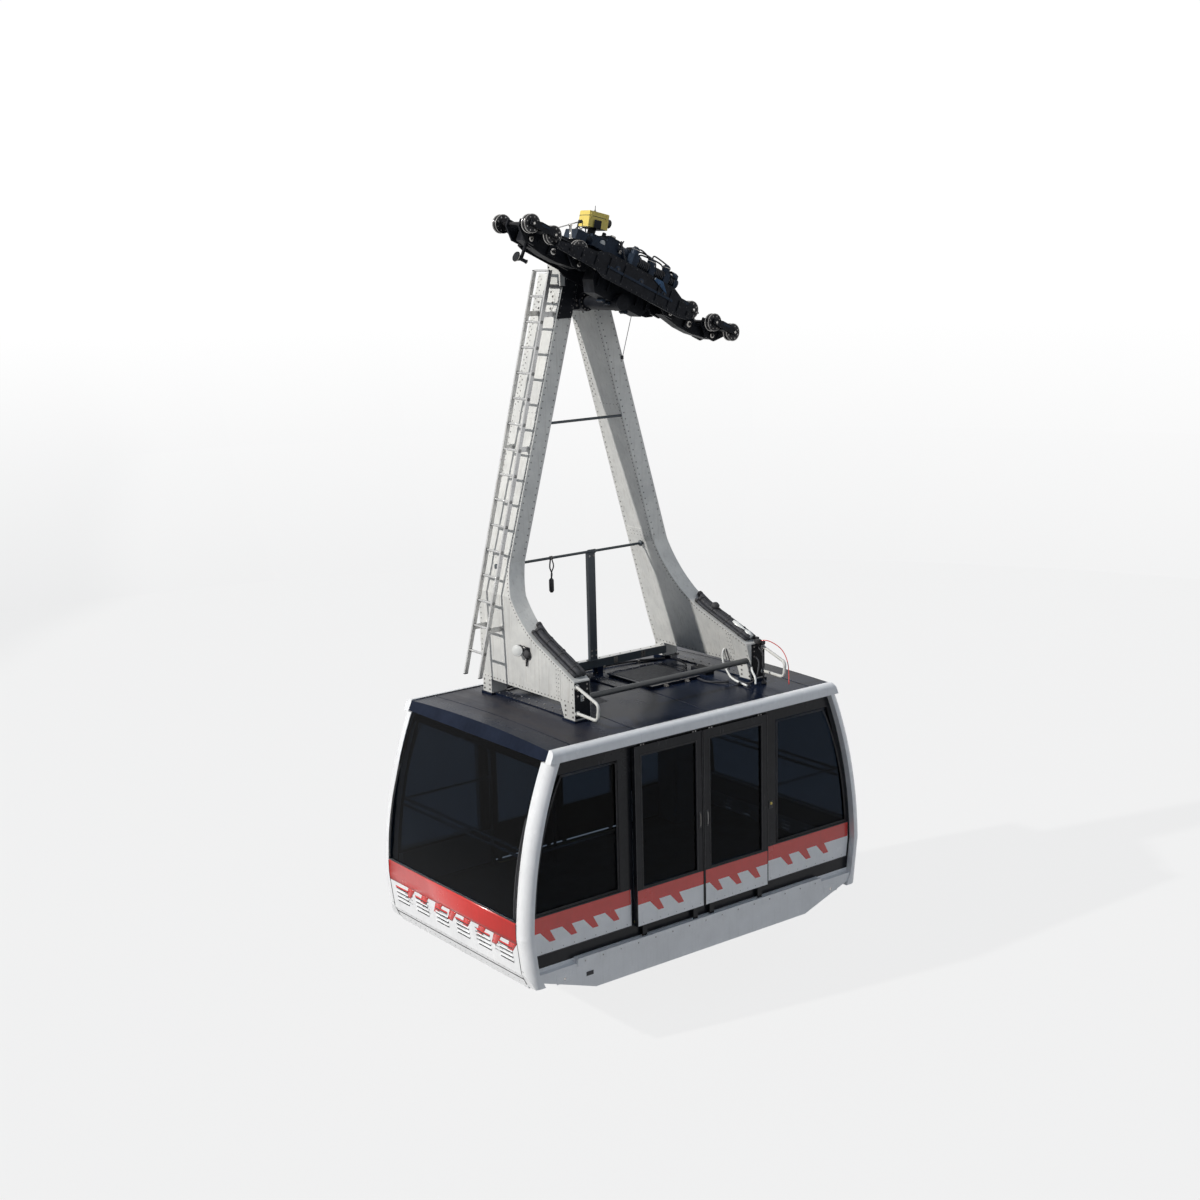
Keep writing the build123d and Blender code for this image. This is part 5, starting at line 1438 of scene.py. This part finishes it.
for e, name in ((-1, "uphill"), (1, "downhill")):
    end = Piece(f"end_fittings_{name}", "cabin")

    def patch(left, right, d0, d1, key, lift=0.0012, steps=6):
        grids = ([], [])
        for k in range(steps + 1):
            depth = d0 + (d1 - d0) * k / steps
            ys = [left(depth) + (right(depth) - left(depth)) * j / 2 for j in range(3)]
            for grid, out in zip(grids, (lift, -0.001)):
                grid.append([end_point(e, y, depth, out) for y in ys])
        end.add(skin(*grids), key, True)

    patch(lambda d: -1.198, lambda d: 1.198, 1.684, 1.915, "red")
    pitch, wide, lean = 0.27, 0.13, 0.11
    for n in range(9):
        a = -1.19 + n * pitch
        if a + lean + wide > 1.2:
            break
        patch(
            lambda d, a=a: a + lean * (d - 1.9155) / 0.12,
            lambda d, a=a: a + wide + (lean - 0.045) * (d - 1.9155) / 0.12,
            1.9155,
            2.04,
            "red",
        )
    for s in (-1, 1):
        gasket = [end_point(e, s * 1.196, 0.125 + (1.675 - 0.125) * k / 16, -0.004) for k in range(17)]
        end.tube(gasket, 0.006, 8, "rubber")
    for depth, r in ((1.68, 0.007), (0.118, 0.006), (2.295, 0.005)):
        end.tube([end_point(e, -1.196 + 2.392 * k / 8, depth, 0.0) for k in range(9)], r, 8, "rubber")
    patch(lambda d: -1.19, lambda d: 1.19, 0.125, 0.2, "black", 0.001, 3)
    for s in (-1, 1):
        patch(lambda d, s=s: s * 1.16, lambda d, s=s: s * 1.19, 0.2, 1.67, "black", 0.0012, 14)
    for column in range(6):
        y = (column - 2.5) * 0.392
        for line in range(4):
            depth = 1.984 + 0.05 * line
            opening = strip(e, y, depth, 0.113, ((-0.01, 0.0022), (0.01, 0.0022)))
            back = strip(e, y, depth, 0.113, ((-0.01, -0.001), (0.01, -0.001)))
            end.add(skin(opening, back), "rubber")
            hood = strip(e, y, depth, 0.118, ((-0.022, 0.001), (-0.012, 0.009)))
            under = strip(e, y, depth, 0.118, ((-0.019, -0.001), (-0.009, 0.007)))
            end.add(skin(hood, under), "red" if line < 1 else "white")
    for k in range(25):
        y = -1.17 + 2.34 * k / 24
        end.rivet(end_point(e, y, 2.26, 0), (e, 0, 0), 0.005)
        end.rivet(end_point(e, y, 2.36, 0), (e, 0, -0.3), 0.005)
    for s in (-1, 1):
        seam = [end_point(e, s * 1.2, 1.7 + 0.66 * k / 10, 0.0005) for k in range(11)]
        end.tube(seam, 0.0035, 6, "rubber")
    end.build()

# Corner posts: seams at the roof trim and sill, and screws
posts = Piece("post_fittings", "cabin")
for e in (-1, 1):
    for s in (-1, 1):
        for k in range(14):
            depth = 0.2 + 0.16 * k
            posts.rivet(end_point(e, s * 1.222, depth, 0.0), (e, 0, 0), 0.0045, "white")
        for depth in (0.1165, 2.2):
            ring = [end_point(e, s * (1.21 + 0.01 * k), depth, 0.0) for k in range(4)]
            posts.tube(ring, 0.002, 6, "rubber")
        cap = at(e * 2.15, s * 1.28, -2.382)
        posts.box(cap + Vector((-0.05, -0.04, -0.003)), cap + Vector((0.05, 0.04, 0.004)), "rubber", 0.003)
posts.build()

# Inside: ceiling, wall lining, standing posts, notice frames left blank, floor edge strips
inside = Piece("interior", "cabin")
for y0, y1 in ((-1.2, -0.83), (-0.69, 0.69), (0.83, 1.2)):
    spans = ((-1.6, 0.24), (0.88, 1.6)) if y0 < 0 < y1 else ((-1.6, 1.6),)
    for x0, x1 in spans:
        inside.box(at(x0, y0, -0.102), at(x1, y1, -0.108), "inside", 0.001)
for e in (-1, 1):
    for s in (-1, 1):
        lining = [(0.95, 1.67), (wall_edge(1.67) - 0.05, 1.67), (wall_edge(2.06) - 0.05, 2.06), (0.95, 2.06)]
        outline = [at(e * x, s * 1.228, -d) for x, d in lining]
        inside.add(slab(outline, (0, -s, 0), 0.006), "inside")
        for x in (1.0, 1.5, 2.0):
            for d in (1.7, 2.02):
                inside.rivet(at(e * x, s * 1.222, -d), (0, -s, 0), 0.006)
        inside.tube([at(e * 0.99, s * 1.17, -0.11), at(e * 0.99, s * 1.17, -2.08)], 0.016, 12, "rail_metal")
        for z in (-0.112, -2.078):
            inside.turn(
                boss(0.034, 0.006, 0.02), at(e * 0.99, s * 1.17, z), (0, 0, -1 if z > -1 else 1), 20,
                "rail_metal",
            )
    for k in range(5):
        y = -1.0 + 0.5 * k
        inside.tube([at(e * 2.095, y, -1.04), at(e * 2.095, y, -1.115)], 0.011, 10, "rail_metal")
    grid = [
        [(PIN_X + e * (end_x(d) - 0.056), y, ROOF - d) for y in (-1.15, 0, 1.15)]
        for d in (1.7, 1.8, 1.9)
    ]
    back = [[(x - e * 0.006, y, z) for x, y, z in line] for line in grid]
    inside.add(skin(grid, back), "inside")
for x in (-0.45, 0.45):
    inside.tube([at(x, 0.72, -0.11), at(x, 0.72, -2.08)], 0.018, 12, "rail_metal")
    for z in (-0.112, -2.078):
        inside.turn(boss(0.04, 0.006, 0.024), at(x, 0.72, z), (0, 0, -1 if z > -1 else 1), 20, "rail_metal")
for s in (-1, 1):
    inside.box(at(-0.9, s * 1.21, -2.08), at(0.9, s * 1.16, -2.076), "yellow", 0.001)
    inside.tube([at(-1.5, s * 0.55, -0.2), at(1.5, s * 0.55, -0.2)], 0.015, 12, "rail_metal")
    for x in (-1.4, -0.5, 0.5, 1.4):
        inside.tube([at(x, s * 0.55, -0.11), at(x, s * 0.55, -0.2)], 0.012, 10, "rail_metal")
        inside.turn(boss(0.03, 0.005, 0.018), at(x, s * 0.55, -0.112), DOWN, 16, "rail_metal")
inside.box(at(1.45, 0.86, -1.12), at(1.75, 1.2, -2.08), "inside", 0.008)
inside.box(at(1.47, 0.88, -1.05), at(1.73, 1.16, -1.12), "rubber", 0.008)
for x in (1.52, 1.58, 1.64, 1.7):
    inside.turn(
        boss(0.01, 0.012, 0.007, 0.004), at(x, 0.95, -1.05), UP, 12,
        "red" if x < 1.55 else "worn",
    )
for x, s in ((1.3, -1), (-1.3, 1)):
    inside.box(at(x - 0.15, s * 1.228, -0.12), at(x + 0.15, s * 1.222, -0.24), "lamp_white", 0.001)
inside.build()

# Belly: seam strips, pads, drains, an access plate and rows of rivets
belly = Piece("belly_fittings", "cabin")
for x in (-1.1, -0.55, 0.0, 0.55, 1.1):
    belly.box(at(x - 0.02, -1.3, -2.555), at(x + 0.02, 1.3, -2.559), "white", 0.001)
    for k in range(27):
        y = -1.27 + 2.54 * k / 26
        for dx in (-0.012, 0.012):
            belly.rivet(at(x + dx, y, -2.559), DOWN, 0.005)
for x in (-1.3, 1.3):
    for y in (-1.15, 1.15):
        belly.turn(boss(0.07, 0.01, 0.06, 0.004), at(x, y, -2.555), DOWN, 24, "rubber")
        belly.turn([(0.014, 0.03), (0.02, 0.03)], at(x, y, -2.555), DOWN, 16, "bolt", False)
for x in (-0.8, 0.8):
    belly.turn([(0, 0.03), (0.012, 0.028), (0.014, 0.018)], at(x, 0.4, -2.555), DOWN, 20, "bolt")
belly.box(at(-0.3, -0.35, -2.555), at(0.3, 0.35, -2.56), "white", 0.002)
for k in range(8):
    for x in (-0.27, 0.27):
        belly.bolt(at(x, -0.315 + 0.09 * k, -2.56), DOWN, 0.007, "bolt")
    for y in (-0.325, 0.325):
        belly.bolt(at(-0.2 + 0.057 * k, y, -2.56), DOWN, 0.007, "bolt")
for e in (-1, 1):
    a = Vector(at(e * 1.46, 0, -2.555))
    b = Vector(at(e * 2.2, 0, -2.3))
    n = Vector((e * 0.255, 0, -0.74)).normalized()
    for t in (0.08, 0.5, 0.9):
        p = a.lerp(b, t)
        for k in range(25):
            belly.rivet(Vector((p.x, -1.26 + 2.52 * k / 24, p.z)), n, 0.005)
belly.build()


# Lights and backdrop
def sun(name, direction, strength, angle, colour=(1, 1, 1)):
    data = bpy.data.lights.new(name, "SUN")
    data.energy = strength
    data.angle = radians(angle)
    data.color = colour
    lamp = bpy.data.objects.new(name, data)
    lamp.rotation_euler = Vector(direction).to_track_quat("-Z", "Y").to_euler()
    bpy.context.scene.collection.objects.link(lamp)


sun("key", (0.82, -0.17, -0.52), 3.1, 1.5, (1.0, 0.97, 0.93))
sun("fill", (0.1, 0.85, -0.35), 0.18, 50, (0.7, 0.84, 1.0))
world = bpy.data.worlds.new("studio")
bpy.context.scene.world = world
world.use_nodes = True
sky = world.node_tree.nodes["Background"]
sky.inputs["Color"].default_value = (0.6, 0.72, 0.9, 1)
sky.inputs["Strength"].default_value = 0.32


def seen_directly(tree):
    """Light path value that is 1 for what the camera sees, also in reflections and through glass."""
    light = tree.nodes.new("ShaderNodeLightPath")
    value = light.outputs["Is Camera Ray"]
    for key in ("Is Glossy Ray", "Is Transmission Ray"):
        most = tree.nodes.new("ShaderNodeMath")
        most.operation = "MAXIMUM"
        tree.links.new(value, most.inputs[0])
        tree.links.new(light.outputs[key], most.inputs[1])
        value = most.outputs[0]
    return value


white_sky = world.node_tree.nodes.new("ShaderNodeBackground")
white_sky.inputs["Color"].default_value = (1, 1, 1, 1)
sky_mix = world.node_tree.nodes.new("ShaderNodeMixShader")
world.node_tree.links.new(seen_directly(world.node_tree), sky_mix.inputs[0])
world.node_tree.links.new(sky.outputs[0], sky_mix.inputs[1])
world.node_tree.links.new(white_sky.outputs[0], sky_mix.inputs[2])
world.node_tree.links.new(sky_mix.outputs[0], world.node_tree.nodes["World Output"].inputs["Surface"])


def backdrop():
    """Pale floor that sweeps up behind the object, white where the camera sees it directly."""
    z = ROOF - 3.2
    grid = []
    for a in range(-20, 21):
        line = []
        for r in (0, 3, 6, 10, 16, 24, 30, 33, 35.5, 37, 38, 38.4, 38.5, 38.5):
            rise = 0 if r < 24 else (r - 24) ** 2 / 14.5
            line.append((r * cos(a * pi / 20), r * sin(a * pi / 20), z + rise))
        grid.append(line)
    grid = [[(x, y, h) if k < 13 else (x, y, z + 18) for k, (x, y, h) in enumerate(line)] for line in grid]
    verts, faces = sheet(grid)
    mesh = bpy.data.meshes.new("backdrop")
    mesh.from_pydata([tuple(v) for v in verts], [], faces)
    piece = bpy.data.objects.new("backdrop", mesh)
    bpy.context.scene.collection.objects.link(piece)
    n = Nodes("backdrop")
    n.colour(n.mix(n.noise(0.6, 3), (0.4, 0.4, 0.4), (0.37, 0.375, 0.38)))
    n.constant(Roughness=0.9)
    glow = n.tree.nodes.new("ShaderNodeEmission")
    glow.inputs["Color"].default_value = (1, 1, 1, 1)
    glow.inputs["Strength"].default_value = 1.02
    mixer = n.tree.nodes.new("ShaderNodeMixShader")
    height = n.ramp(n.axis("Z"), z, z + 6, 0.8, 1.0)
    direct = n.times(seen_directly(n.tree), height)
    n.link(direct, mixer.inputs[0])
    n.link(n.shader.outputs[0], mixer.inputs[1])
    n.link(glow.outputs[0], mixer.inputs[2])
    n.link(mixer.outputs[0], n.tree.nodes["Material Output"].inputs["Surface"])
    mesh.materials.append(n.material)


backdrop()
